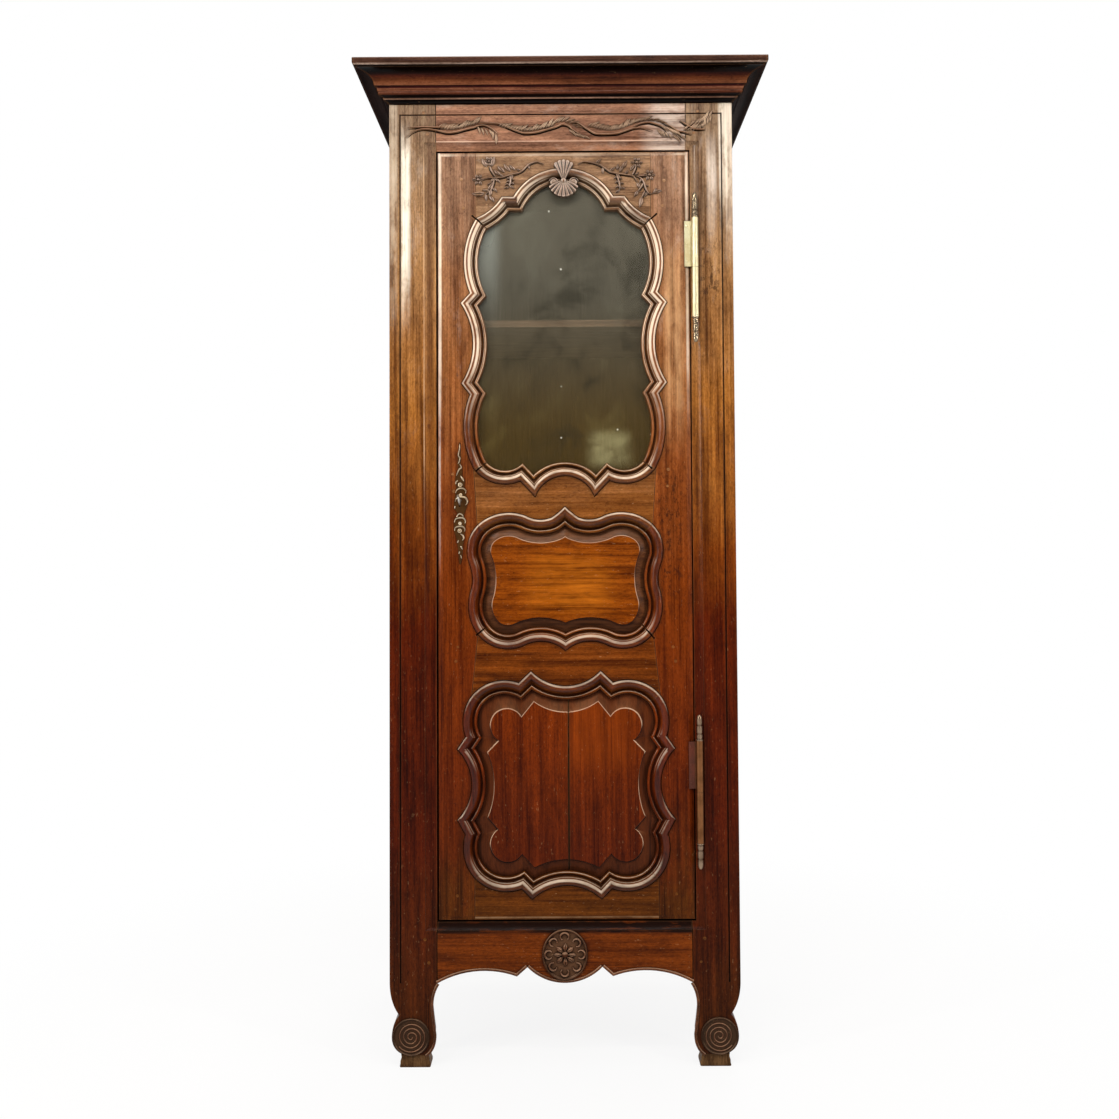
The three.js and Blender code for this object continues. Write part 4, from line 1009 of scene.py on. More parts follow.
def raw_wood(name, grain, deep, body, bright, rough=0.75, joints=(), weathered=None, painted_lit_edge=None):
    """Unpolished wood: dry, dusty, with saw marks, knots and stains."""
    wood = Finish(name)
    place = wood.stretched(squeezed(grain, 0.07))
    for x in joints:
        place = wood.stepped(place, x, 2.3)
    rings = wood.cloud(place, 7.0, 3.0, 0.5, 0.6)
    lines = (rings * 14.0).fraction()
    lines = lines.between(0.0, 0.7) * (1 - lines.between(0.82, 1.0))
    fibre = wood.cloud(wood.stretched(squeezed(grain, 0.018)), 380.0, 4.0, 0.65)
    streak = wood.cloud(wood.stretched(squeezed(grain, 0.018), (2, 3, 4)), 90.0, 4.0, 0.65)
    stain = wood.cloud(wood.place, 4.0, 5.0, 0.65)
    tone = lines * 0.12 + fibre * 0.35 + streak * 0.35 + stain * 0.3 - 0.06
    wood.colour = wood.ramp(tone, (0.34, deep), (0.5, body), (0.66, bright))
    if weathered:
        from_y, deep_out, body_out, bright_out = weathered
        outer = wood.ramp(tone, (0.34, deep_out), (0.5, body_out), (0.66, bright_out))
        wood.lay(wood.y.between(from_y, from_y + 0.001), outer)
    # The front edge painted pale: painted light on it inside the dim cabinet.
    if painted_lit_edge:
        edge_y, code = painted_lit_edge
        wood.lay((1 - wood.y.between(edge_y, edge_y + 0.002)) * 0.9, code)
    knot = wood.dots(wood.stretched(squeezed("up" if grain == "up" else "across", 0.55)), 3.4)
    wood.lay((1 - knot.between(0.02, 0.07)) * 0.6, "24150c")
    # Darker in corners and gaps between parts: painted shade.
    wood.lay((1 - wood.hollows(0.012)) * 0.8, "120c08")
    roughness = rough + stain * 0.2 - 0.1
    bump = wood.bump(fibre + lines * 0.3, 0.4, 0.0008)
    return wood.done(Base_Color=wood.colour, Roughness=roughness, Normal=bump, Specular_IOR_Level=0.3)


def old_metal(name, bright, dull, dark, sheen=0.3, stained=None):
    """Cast and filed metal: bright where hands rub it, brown and dark in its hollows."""
    metal = Finish(name)
    patch = metal.cloud(metal.place, 45.0, 4.0, 0.65)
    grit = metal.cloud(metal.place, 700.0, 3.0, 0.6)
    hollow_darkening = (1 - metal.hollows(0.004)) * 0.85
    metal.colour = metal.mix(patch.between(0.35, 0.7) * 0.6, bright, dull)
    metal.lay(hollow_darkening, dark)
    roughness = sheen + patch * 0.2 + hollow_darkening * 0.3
    bump = metal.bump(grit + patch * 2.0, 0.3, 0.0004)
    bare = 1 - hollow_darkening * 0.8
    if stained:
        x, code = stained
        cover = 1 - metal.x.between(x - 0.0006, x)
        metal.lay(cover, metal.mix(patch, code, dark))
        bare = bare * (1 - cover)
        roughness = roughness + cover * 0.3
    return metal.done(Base_Color=metal.colour, Metallic=bare, Roughness=roughness, Normal=bump)


def old_glass():
    """Hand made window glass with a grey green film of dust, browner low down."""
    pane = Finish("old_window_glass")
    low = 1 - pane.height.between(1.28, 1.66)
    haze = pane.cloud(pane.stretched((1, 1, 0.5)), 5.0, 3.0, 0.5)
    smear = pane.cloud(pane.stretched((1, 1, 0.1), (4, 0, 0)), 16.0, 3.0, 0.6)
    dots = pane.dots(pane.stretched((1, 0, 1)), 42.0)
    chosen = pane.node("ShaderNodeSeparateColor", None, {0: dots.other("Color")})
    speck = (1 - dots.between(0.07, 0.11)) * chosen.between(0.9, 0.92)
    blots = pane.cloud(pane.stretched((1, 1, 0.8), (2, 0, 9)), 9.0, 5.0, 0.65, 0.6)
    pane.colour = pane.mix(low, "5a5649", "54421e")
    pane.lay(blots.between(0.5, 0.75) * 0.5, pane.mix(low, "787868", "7c6c3c"))
    pane.lay((1 - blots.between(0.3, 0.5)) * 0.6, "2c2a20")
    spot = pane.x.near(0.1, 0.06) * pane.height.near(1.285, 0.05) * blots.between(0.35, 0.6)
    pane.lay(spot * 0.7, "b0a878")
    pane.lay(pane.x.near(-0.17, 0.05) * pane.height.between(1.5, 1.75) * 0.35, "a8b0a8")
    pane.lay(pane.cloud(pane.place, 150.0, 4.0, 0.7).between(0.58, 0.72) * 0.05, "a8a898")
    pane.lay(speck * 0.7, "d8d8cc")
    cover = haze * 0.2 + smear.between(0.5, 0.85) * 0.06 + speck * 0.5 + 0.36
    cover = cover - low * 0.06 + pane.height.between(1.55, 1.75) * 0.2
    return pane.done(
        Base_Color=pane.colour, Alpha=cover.at_most(0.92), Roughness=0.1 + haze * 0.15,
        Specular_IOR_Level=0.3,
    )


def pale_floor():
    """A plain floor that runs out into white, and still takes a faint shadow near the feet."""
    floor = Finish("pale_floor")
    spread = floor.node("ShaderNodeVectorMath", {"operation": "LENGTH"}, {0: floor.place}, out="Value")
    far = spread.between(0.7, 1.8) * 0.12 + 0.88
    speckle = floor.cloud(floor.place, 3.0, 2.0)
    shade = floor.ramp(speckle, (0.0, "ece9e6"), (1.0, "f4f2f0"))
    close = floor.node("ShaderNodeBsdfPrincipled", None, {
        "Base Color": shade, "Roughness": 0.9, "Specular IOR Level": 0.1,
    })
    glow = floor.node("ShaderNodeEmission", None, {"Strength": 1.0})
    path = floor.node("ShaderNodeLightPath", out="Is Camera Ray")
    seen = path.at_least(path.other("Is Glossy Ray").at_least(path.other("Is Transmission Ray")))
    shader = floor.node("ShaderNodeMixShader", None, {0: far * seen, 1: close, 2: glow})
    end_node("ShaderNodeOutputMaterial", shader)
    return floor.material


# Colours of the wood by height: its own colour, with painted light high up and painted shade low down
STILE_LEVELS = [
    (0.1, "54280a"), (0.5, "5c1e06"), (0.9, "6a2406"), (1.1, "84400e"), (1.4, "b67430"), (1.7, "be8c58"),
    (1.95, "a48668"),
]
RAIL_LEVELS = [(0.1, "7e3a0a"), (0.3, "7e3a0c"), (1.5, "a86636"), (1.95, "b07e60")]
DOOR_LEVELS = [
    (0.3, "64340c"), (0.45, "702e0a"), (0.6, "7c300a"), (1.0, "883c0c"), (1.25, "985020"), (1.45, "ac6c3a"),
    (1.7, "b27c54"), (1.85, "ac8264"),
]
DOOR_RAIL_LEVELS = [(0.3, "6c3a0e"), (0.85, "864210"), (1.15, "945824"), (1.6, "aa7e56"), (1.85, "a88260")]
MIDDLE_LEVELS = [(0.85, "904408"), (1.0, "a04e0c"), (1.15, "984c10")]
LOWER_LEVELS = [(0.35, "5c2008"), (0.8, "803206")]
# The cornice by height: near-black bands are painted shade under its overhangs, and pale thin lines are painted
# highlights on its edges.
CORNICE_LEVELS = [
    (2.022, "060202"), (2.0284, "080302"), (2.0292, "a88470"), (2.0306, "987460"), (2.0318, "0c0402"),
    (2.0352, "140703"), (2.0368, "5a2c18"), (2.0425, "84503a"), (2.0475, "9a6248"), (2.0488, "4a1810"),
    (2.0506, "300804"), (2.0522, "200604"), (2.0535, "845036"), (2.057, "845034"), (2.0635, "7a401f"),
    (2.069, "5a2410"), (2.0728, "240c06"), (2.0765, "040101"), (2.0818, "040101"), (2.083, "c0a898"),
    (2.0841, "b09888"), (2.0855, "503426"), (2.0945, "5c3a2a"), (2.0965, "907464"),
]
SIDE_LEVELS = [(0.1, "4c1e0a"), (0.6, "561c08"), (1.2, "70340f"), (1.9, "8c5630")]
CREAM = "fdf2de"
# Painted streaks of highlight, reflection and shadow: the axis across them, their middle and reach on it, the
# heights they run between, how strong they are, and their colour
RAIL_HIGHLIGHTS_AND_SHADOW = [
    ("Z", 1.9413, 0.0018, 1.5, 2.1, 0.45, "dcb8a0"), ("X", 0.24, 0.08, 1.5, 2.1, 0.42, "ecdccc"),
    ("Z", 0.287, 0.018, -0.5, 2.1, 1.3, "180803"),
]
STILE_HIGHLIGHTS_AND_SHADE = [
    ("X", -0.331, 0.014, 1.5, 2.0, 0.65, CREAM), ("X", 0.346, 0.013, 1.7, 2.1, 0.6, CREAM),
    ("X", -0.357, 0.012, 1.5, 2.1, 0.35, "e0d0b8"), ("X", 0.358, 0.012, 1.66, 2.1, 0.6, "ecdcc8"),
    ("X", 0.321, 0.014, 1.68, 1.97, 0.5, "f0e0d0"), ("X", -0.2915, 0.0016, 1.1, 1.95, 0.5, "d8b088"),
    ("X", -0.279, 0.009, 1.2, 2.1, 0.5, "4a2410"), ("X", 0.2925, 0.008, 1.5, 1.93, 0.5, "6a5040"),
]
DOOR_HIGHLIGHTS = [
    ("X", -0.2595, 0.003, 1.0, 2.1, 0.5, "e8e0d8"), ("X", 0.268, 0.003, 1.4, 2.1, 0.4, "e8dcd0"),
    ("X", 0.238, 0.028, 1.25, 1.75, 0.32, "dcae7c"),
]
FRAME_CUT = (FRONT_Y * MM, 1.945)
MOULDED = {"proud": -0.2125, "lit": 0.9, "shaded": 0.35, "lit_tint": "f4dcc0"}
STILE_WOOD = waxed_wood(
    "walnut_stiles", "up", STILE_LEVELS, painted_streaks_and_joints=STILE_HIGHLIGHTS_AND_SHADE, incised=FRAME_CUT,
    pits=(0.312, 1.66, 0.035, 0.11, "3a2416"), specks=0.5,
)
RAIL_WOOD = waxed_wood(
    "walnut_rails", "across", RAIL_LEVELS, offset=(1, 2, 3), incised=FRAME_CUT,
    painted_streaks_and_joints=RAIL_HIGHLIGHTS_AND_SHADOW, specks=0.6, dust_and_shade=1.2,
)
DOOR_WOOD = waxed_wood(
    "door_walnut_upright", "up", DOOR_LEVELS, offset=(3, 1, 7), painted_streaks_and_joints=DOOR_HIGHLIGHTS,
    pits=(0.226, 1.1, 0.04, 0.2, "2a140a"), specks=0.6, **MOULDED,
)
# The streak on the door rails is a painted highlight along the bottom edge of the door.
DOOR_RAIL_WOOD = waxed_wood(
    "door_walnut_across", "across", DOOR_RAIL_LEVELS, offset=(5, 2, 1),
    painted_streaks_and_joints=[("Z", 0.3042, 0.003, 0.0, 2.1, 0.35, "c09870")], **MOULDED,
)
MIDDLE_WOOD = waxed_wood(
    "middle_panel_walnut", "across", MIDDLE_LEVELS, figure=22, sway=9.0, flame=0.3, contrast=0.9,
    sunk=(SLOPE_START, SLOPE_END, "583822"), heart=(0.012, 1.0, 0.12, 0.085, 0.7, "c87018"), rim=RIM_Y,
    lit=0.2, shaded=0.75, lit_tint="b08868", sheen=0.26,
)
LOWER_WOOD = waxed_wood(
    "lower_panel_walnut", "up", LOWER_LEVELS, offset=(2, 5, 1), sheen=0.28, specks=0.6,
    step_x=BOARD_JOINT_X * MM, sunk=(SLOPE_START, SLOPE_END, "582c14"), lit=0.4, shaded=0.8,
    lit_tint="c08a60", rim=RIM_Y, painted_streaks_and_joints=[("X", BOARD_JOINT_X * MM, 0.0024, -0.5, 2.1, 1.6, "080301")],
    heart=(0.075, 0.7, 0.1, 0.12, 0.45, "9c440c"),
)
CORNICE_WOOD = waxed_wood(
    "cornice_walnut", "across", CORNICE_LEVELS, offset=(7, 1, 4), span=(2.02, 2.1), drift=0.002, specks=0.3,
    painted_sheen=0.0, sheen=0.3, dust_and_shade=0.5, wear=0.1, shine=0.3,
)
RETURN_WOOD = waxed_wood(
    "cornice_walnut_returns", "back", [(2.0, "160c0a"), (2.1, "241410")], sheen=0.6, shine=0.04, wear=0.2,
    painted_sheen=0.0, specks=0.15,
)
SIDE_WOOD = waxed_wood("side_walnut_upright", "up", SIDE_LEVELS, offset=(9, 4, 2), painted_sheen=0.03)
SIDE_RAIL_WOOD = waxed_wood("side_walnut_rails", "back", SIDE_LEVELS, offset=(4, 9, 2), painted_sheen=0.03)
FOOT_WOOD = waxed_wood("worn_foot_wood", "up", [(0, "7c5c3c"), (0.1, "6a4c2e")], sheen=0.5, dust_and_shade=0.6)
CARVED = {"dust_and_shade": 0.7, "wear": 0.3, "contrast": 0.8, "shaded": 0.7, "painted_sheen": 0.05}
CARVED_FRIEZE = waxed_wood(
    "frieze_carved_walnut", "across", RAIL_LEVELS, offset=(1, 2, 3), worn="c89468", lit=0.7,
    lit_tint="e8c8a8", **CARVED,
)
CARVED_DOOR = waxed_wood(
    "door_carved_walnut", "across", DOOR_RAIL_LEVELS, offset=(5, 2, 1), worn="b89478", lit=0.45,
    lit_tint="d0b8a8", **CARVED,
)
SHELL_WOOD = waxed_wood(
    "door_shell_walnut", "across", [(1.8, "86583c"), (1.9, "8e6448")], dust_and_shade=1.3, wear=0.7, worn="ecd0b8",
    lit=0.45, shaded=0.5,
)
CARVED_LOW = waxed_wood(
    "apron_carved_walnut", "across", [(0.1, "5c3018"), (0.3, "7c4c30")], dust_and_shade=0.6, wear=0.9, worn="d8a888",
    lit=0.65, shaded=0.6, lit_tint="d0a888",
)
MEDALLION_GROUND = waxed_wood(
    "apron_medallion_ground", "across", [(0.1, "40200f"), (0.3, "4c2814")], dust_and_shade=1.4, wear=0.8,
    worn="d0a078", lit=0.45, shaded=0.5, lit_tint="c8a080",
)
CARVED_SCROLL = waxed_wood(
    "foot_scroll_walnut", "up", [(0, "5a2a10"), (0.2, "5a2a10")], dust_and_shade=0.2, wear=1.0, worn="c89878",
    lit=0.8, shaded=0.6, lit_tint="c09878",
)
DISC_WOOD = waxed_wood(
    "foot_disc_walnut", "up", [(0, "2e1406"), (0.2, "2e1406")], dust_and_shade=1.0, wear=0.6, worn="b08a68",
    lit=0.6, shaded=0.7, lit_tint="b08c70",
)
PEG_WOOD = waxed_wood("peg_wood", "across", DOOR_RAIL_LEVELS, sheen=0.4, offset=(8, 2, 8))
BACK_WOOD = raw_wood(
    "back_boards_wood", "up", "3c3a2e", "5e5a4c", "7c7664", joints=(-0.111, 0.111),
    weathered=(0.2665, "4c3726", "7c6048", "a08466"),
)
# Its front edge is painted near white, painted light where the inside is dim.
SHELF_WOOD = raw_wood(
    "shelf_wood", "across", "5c4230", "8c6c50", "b09070", 0.6, painted_lit_edge=(-0.1702, "fff0e0"),
)
INSIDE_WOOD = raw_wood("inside_boards_wood", "across", "4c3424", "7c5c42", "a08060", 0.7)
INSIDE_SIDE_WOOD = raw_wood("cleat_wood", "back", "3a2a1e", "6a4f38", "8a6a4c")
BRASS = old_metal("old_brass", "e2dab4", "c4b07c", "3a2410", 0.3)
LOW_BRASS = old_metal("lower_hinge_brass", "8a5c3a", "54341c", "1c1008", 0.3, (0.2745, "7a300c"))
LOW_FINIAL_BRASS = old_metal("lower_finial_brass", "98806a", "4a3624", "0c0603", 0.24)
FINIAL_BRASS = old_metal("browned_brass", "a8967c", "2c1c10", "0a0502", 0.16)
PLATE_BRASS = old_metal("key_plate_brass", "e6d6b8", "b08c64", "2a1a0c", 0.26)
PLATE_GROUND = old_metal("key_plate_ground", "5a3c20", "3a2412", "140a05", 0.4)
STEEL = old_metal("old_steel", "b4b0a8", "7c766c", "1c1512", 0.3)
GLASS = old_glass()


# Door


def door_frame_solid():
    """The whole frame of the door, with its mouldings and grooves."""
    base = lofted("door_frame", [
        rectangle(DOOR_LEFT, DOOR_RIGHT, DOOR_BOTTOM, DOOR_TOP, DOOR_FRONT_Y + depth, inset)
        for depth, inset in DOOR_EDGE
    ])
    floor = MOULD_WIDTH - GROOVE_DEPTH
    groove_back = GROOVE_FRONT + PANEL_THICKNESS + WOOD_GAP * 2
    panel_section = [
        (MOULD_WIDTH, GROOVE_FRONT), (floor, GROOVE_FRONT), (floor, groove_back),
        (MOULD_WIDTH, groove_back), (MOULD_WIDTH, DOOR_THICKNESS), (0, DOOR_THICKNESS),
    ]
    pane_section = [
        (MOULD_WIDTH, PANE_FRONT - WOOD_GAP), (floor, PANE_FRONT - WOOD_GAP), (floor, DOOR_THICKNESS),
        (0, DOOR_THICKNESS),
    ]
    steps = []
    lap = 0.5
    for opening in OPENINGS:
        hole = around(opening, lap - MOULD_WIDTH)
        ends = [ring_at(hole, -OVERRUN), ring_at(hole, DOOR_THICKNESS + OVERRUN)]
        steps.append(("DIFFERENCE", lofted("hole", ends)))
    for opening, section in zip(OPENINGS, (pane_section, panel_section, panel_section)):
        rows = MOULD_ROWS + section
        rings = [ring_at(around(opening, across - MOULD_WIDTH), depth) for across, depth in rows]
        steps.append(("UNION", lofted("moulding", rings, looped=True)))
    return worked(base, steps)


def seam_path():
    """Where the door stiles meet the rails, right half, from the top down, along the mitres."""
    path = []
    for opening in OPENINGS:
        outer = inset_corners(opening["outline"], opening["sight"] - MOULD_WIDTH)
        beyond = inset_corners(opening["outline"], opening["sight"] + MOULD_WIDTH / 2)
        path.extend([outer[opening["high"]], beyond[opening["high"]]])
        path.extend([beyond[opening["low"]], outer[opening["low"]]])
    first = Vector((path[0].x, DOOR_TOP + OVERRUN))
    last = Vector((path[-1].x, DOOR_BOTTOM - OVERRUN))
    return [first, *path, last]


def key_hole(y0, y1):
    """A cutter for the keyhole, round above and with a slot for the bit below."""
    reach = SHANK_RADIUS + 0.5
    angles = round_steps(24)
    outline = [(KEY_X + SLOT_HALF_WIDTH, KEY_Z - SLOT_DROP)]
    for angle in angles[-3:] + angles[:16]:
        outline.append((KEY_X + reach * cos(angle), KEY_Z + reach * sin(angle)))
    outline.append((KEY_X - SLOT_HALF_WIDTH, KEY_Z - SLOT_DROP))
    return prism("key_hole", vectors(outline), y0, y1)


def crack_through(start, end):
    """A wedge that cuts a crack across a moulding, wide at its outer end."""
    side = (end - start).normalized().orthogonal()
    wide, narrow = side * CRACK_WIDTH / 2, side * CRACK_WIDTH / 3
    points = [start - wide, end - narrow, end + narrow, start + wide]
    return prism("crack", points, DOOR_FRONT_Y - OVERRUN * 2, DOOR_FRONT_Y + CRACK_DEPTH)


def make_door_frame():
    cracks = [crack_through(Vector(start), Vector(end)) for start, end in CRACKS]
    whole = worked(door_frame_solid(), [("DIFFERENCE", crack) for crack in cracks])
    path = seam_path()
    y0, y1 = DOOR_FRONT_Y - OVERRUN * 2, DOOR_BACK_Y + OVERRUN
    beyond = DOOR_RIGHT - DOOR_LEFT
    shift = Vector((DOOR_CENTRE, 0))
    for name, side in SIDES:
        inner = [Vector((side * (point.x + SEAM_GAP / 2), point.y)) + shift for point in path]
        outer = [Vector((side * beyond, z)) for z in (DOOR_BOTTOM - OVERRUN, DOOR_TOP + OVERRUN)]
        steps = [("INTERSECT", prism("region", inner + outer, y0, y1))]
        if side < 0:
            steps.append(("DIFFERENCE", key_hole(y0, y1)))
        stile = worked(copied(whole), steps)
        placed(stile, f"door_stile_{name}_wood", "door", DOOR_WOOD, [f"door_{name}_stile"])
    right = [Vector((point.x - SEAM_GAP / 2, point.y)) + shift for point in path]
    left = [Vector((SEAM_GAP / 2 - point.x, point.y)) + shift for point in reversed(path)]
    middles = [size[2] + size[1] / 2 for size in (WINDOW_SIZE, MIDDLE_SIZE, LOWER_SIZE)]
    levels = [DOOR_TOP + OVERRUN, *middles, DOOR_BOTTOM - OVERRUN]
    names = ["top_rail", "upper_cross_rail", "lower_cross_rail", "bottom_rail"]
    cuts = [groove(below(rows, 2.6), 3.8, 3.0, DOOR_FRONT_Y) for rows in BRANCHES]
    for i, name in enumerate(names):
        region = prism("region", right + left, y0, y1)
        slab = lofted("slab", block(-beyond, beyond, y0, y1, levels[i + 1], levels[i]))
        steps = [("INTERSECT", region), ("INTERSECT", slab)]
        if i == 0:
            steps += [("DIFFERENCE", solid("channel", *cut)) for cut in cuts]
        rail = worked(copied(whole), steps)
        placed(rail, f"door_{name}_wood", "door", DOOR_RAIL_WOOD, [f"door_{name}"])
    forget(whole)


def panel_rings(opening, field, middle_rows):
    """A panel from the tongue in its groove to the face of its raised field."""
    rim = WOOD_GAP - GROOVE_DEPTH
    front = GROOVE_FRONT + WOOD_GAP
    border = around(opening, PANEL_FLAT)
    rings = [
        ring_at(around(opening, rim), front + PANEL_THICKNESS), ring_at(around(opening, rim), front),
        ring_at(border, front),
    ]
    for share, depth in middle_rows:
        rings.append(ring_at([one.lerp(two, share) for one, two in zip(border, field)], depth))
    return rings


# The slope from the border up to the raised field: share of the way, and depth behind the face
FIELD_SLOPE = [
    (0.15, 11.6), (0.4, 9.9), (0.65, 8.0), (0.82, 6.6), (0.89, 5.8), (0.91, 4.7), (0.935, 4.0), (0.97, 3.65),
    (1, FIELD_FRONT),
]


def make_panels():
    middle_field = outline_points(MIDDLE_OPENING["outline"], MIDDLE_FIELD_INSET)
    panel = lofted("panel", panel_rings(MIDDLE_OPENING, middle_field, FIELD_SLOPE))
    placed(panel, "middle_panel_wood", "door", MIDDLE_WOOD, ["middle_panel"])
    lower_field = outline_points(FIELD_OUTLINE, 0, LOWER_OPENING["outline"])
    rings = panel_rings(LOWER_OPENING, lower_field, FIELD_SLOPE)
    for name, x0, x1 in (
        ("left", DOOR_LEFT, BOARD_JOINT_X - 0.6), ("right", BOARD_JOINT_X + 0.6, DOOR_RIGHT),
    ):
        slab = lofted("slab", block(x0, x1, DOOR_FRONT_Y - 1, DOOR_BACK_Y + 1, DOOR_BOTTOM, DOOR_TOP))
        side = worked(lofted("board", rings), [("INTERSECT", slab)])
        node = f"lower_panel_{name}"
        placed(side, f"{node}_wood", "door", LOWER_WOOD, [node])


def make_glazing():
    rim = around(GLAZED, WOOD_GAP - GROOVE_DEPTH)
    rings = [ring_at(rim, PANE_FRONT), ring_at(rim, PANE_FRONT + PANE_THICKNESS)]
    pane = placed(lofted("pane", rings), "window_glass", "door", GLASS, ["window_pane"])
    pane.visible_shadow = False


# Front frame


def doorway_cut():
    """A cutter for the doorway, its stop and the hollow edge round it."""
    front = lofted("doorway", block(
        OPEN_LEFT, OPEN_RIGHT, FRONT_Y - OVERRUN, STOP_Y, OPEN_BOTTOM, OPEN_TOP,
    ))
    back = lofted("stop", block(
        OPEN_LEFT + STOP_WIDTH, OPEN_RIGHT - STOP_WIDTH, STOP_Y - OVERRUN, POST_BACK_Y + OVERRUN,
        OPEN_BOTTOM + STOP_WIDTH, OPEN_TOP - STOP_WIDTH,
    ))
    rings = []
    rows = [(1.25, -OVERRUN), (1, 0), (1, BAND_LIP)]
    for k in range(1, BAND_STEPS + 1):
        out = 1 - k / BAND_STEPS
        rows.append((out, BAND_LIP + (BAND_DEPTH - BAND_LIP) * (1 - out ** 2)))
    for out, depth in rows:
        rings.append(rectangle(
            OPEN_LEFT - out * BAND_LEFT, OPEN_RIGHT + out * BAND_RIGHT, OPEN_BOTTOM - out * BAND_BOTTOM,
            OPEN_TOP + out * BAND_TOP, FRONT_Y + depth,
        ))
    return worked(front, [("UNION", back), ("UNION", lofted("band", rings))])


def face_line_cut():
    """The line cut into the face, up one stile, across the rail and down the other."""
    wall = LINE_WIDTH / 2
    half = [(wall, -OVERRUN), (wall, 0.2), (0.9, 1.7), (0, LINE_DEPTH)]
    section = half + [(-out, depth) for out, depth in reversed(half[:-1])]
    inner = HALF - LINE_INSET
    top = BODY_HEIGHT - LINE_INSET
    rings = []
    for side, high in ((-1, False), (-1, True), (1, True), (1, False)):
        rings.append([
            (side * (inner + out), FRONT_Y + depth, top + out if high else LEG_HEIGHT)
            for out, depth in section
        ])
    return lofted("face_line", rings)


def curve_through(start, rows, at):
    """Points along quadratic curves, each given by its handle and its end."""
    points = []
    here = start
    for handle_x, handle_z, x, z in rows:
        handle, end = at(handle_x, handle_z), at(x, z)
        for k in range(1, CURVE_STEPS + 1):
            t = k / CURVE_STEPS
            points.append(here * (1 - t) ** 2 + handle * (2 * t * (1 - t)) + end * t * t)
        here = end
    return points


def leg_point(side):
    """Places on a leg from shares of the stile width and of the leg height."""
    return lambda x, z: Vector((side * (HALF - x * STILE_WIDTH), z * LEG_HEIGHT))


def inner_leg_line(side):
    at = leg_point(side)
    return curve_through(at(LEG_FLAT, LEG_CURVES[-1][3]), LEG_INNER_CURVES, at)


def stile_outline(side):
    at = leg_point(side)
    seam = side * (SEAM + SEAM_GAP / 2)
    outer = at(0, 1)
    points = [Vector((seam, BODY_HEIGHT)), Vector((side * HALF, BODY_HEIGHT)), outer]
    points += curve_through(outer, LEG_CURVES, at)
    points.append(at(LEG_FLAT, LEG_CURVES[-1][3]))
    return points + inner_leg_line(side)[:-1] + [Vector((seam, LEG_HEIGHT))]


def apron_outline():
    end = SEAM - SEAM_GAP / 2
    corners = [
        (NOTCH_X, NOTCH_Z, 0), (CUSP_X, CUSP_Z, ARCH_BULGE), (end, LEG_HEIGHT, 0),
        (end, OPEN_BOTTOM + STOP_WIDTH, 0),
    ]
    lobe = (NOTCH_Z - LEG_HEIGHT) / NOTCH_X
    return whole_outline(corners, (1, 1, 0), lobe)


def edge_bead(line, inwards):
    """A carved bead on the face, along a lower edge."""
    moved = [spot + side * inwards for spot, side in zip(line, left_normals(line))]
    return ridge(moved, 6.0, 2.6, FRONT_Y, sunk=1.0, flat_ends=True)


def frame_cuts(opening, line):
    """What is cut from the frame: the doorway, the line on its face and the channels of the frieze."""
    channels = [solid("channel", *groove(below(rows, 3.4), 4.6, 2.8, FRONT_Y)) for rows in FRIEZE_STEMS]
    return [("DIFFERENCE", cut) for cut in (copied(opening), copied(line), *channels)]


def make_stiles(opening, line):
    for (name, side), edge in zip(SIDES, (OPEN_LEFT, OPEN_RIGHT)):
        stile = board("stile", stile_outline(side), FRONT_Y, POST_BACK_Y)
        x0, x1 = sorted((edge - side * STOP_WIDTH, side * (HALF - STILE_WIDTH / 2)))
        lip = lofted("lip", block(
            x0, x1, STOP_Y, POST_BACK_Y - 0.01, OPEN_BOTTOM + STOP_WIDTH + WOOD_GAP,
            OPEN_TOP - STOP_WIDTH - WOOD_GAP,
        ))
        stile = worked(stile, [("UNION", lip), *frame_cuts(opening, line)])
        placed(stile, f"front_stile_{name}_wood", "carcass", STILE_WOOD, [f"front_{name}_stile"])
        bead = solid("bead", *edge_bead(inner_leg_line(side), side * BEAD_INSET))
        placed(bead, f"leg_bead_{name}", "carcass", CARVED_LOW)


def lower_edge(points):
    """The lower edge of the apron, out of the points round it, from left to right."""
    run_end = SEAM - SEAM_GAP / 2 - 0.01
    low = LEG_HEIGHT + 1
    start = next(i for i, point in enumerate(points) if point.x < -run_end and point.y < low)
    run = points[start:] + points[:start]
    stop = next(i for i, point in enumerate(run) if point.x > run_end and point.y < low)
    return run[:stop + 1]


def bead_pieces(line):
    """A line in pieces, parted where it turns sharply."""
    pieces = [[line[0]]]
    for before, here, after in zip(line, line[1:], line[2:]):
        pieces[-1].append(here)
        if (here - before).normalized().dot((after - here).normalized()) < BEAD_TURN:
            pieces.append([here])
    pieces[-1].append(line[-1])
    return pieces


def make_rails(opening, line):
    end = SEAM - SEAM_GAP / 2
    foot = OPEN_TOP - STOP_WIDTH
    corners = [(-end, foot), (end, foot), (end, BODY_HEIGHT), (-end, BODY_HEIGHT)]
    top = worked(board("top_rail", vectors(corners), FRONT_Y, POST_BACK_Y), frame_cuts(opening, line))
    placed(top, "front_top_rail_wood", "carcass", RAIL_WOOD, ["front_top_rail"])
    points = outline_points(apron_outline(), 0)
    low = worked(board("apron", points, FRONT_Y, POST_BACK_Y), [("DIFFERENCE", copied(opening))])
    placed(low, "apron_wood", "carcass", RAIL_WOOD, ["front_bottom_rail"])
    bead = gathered("bead", [edge_bead(piece, BEAD_INSET) for piece in bead_pieces(lower_edge(points))])
    placed(bead, "apron_bead", "carcass", CARVED_LOW)


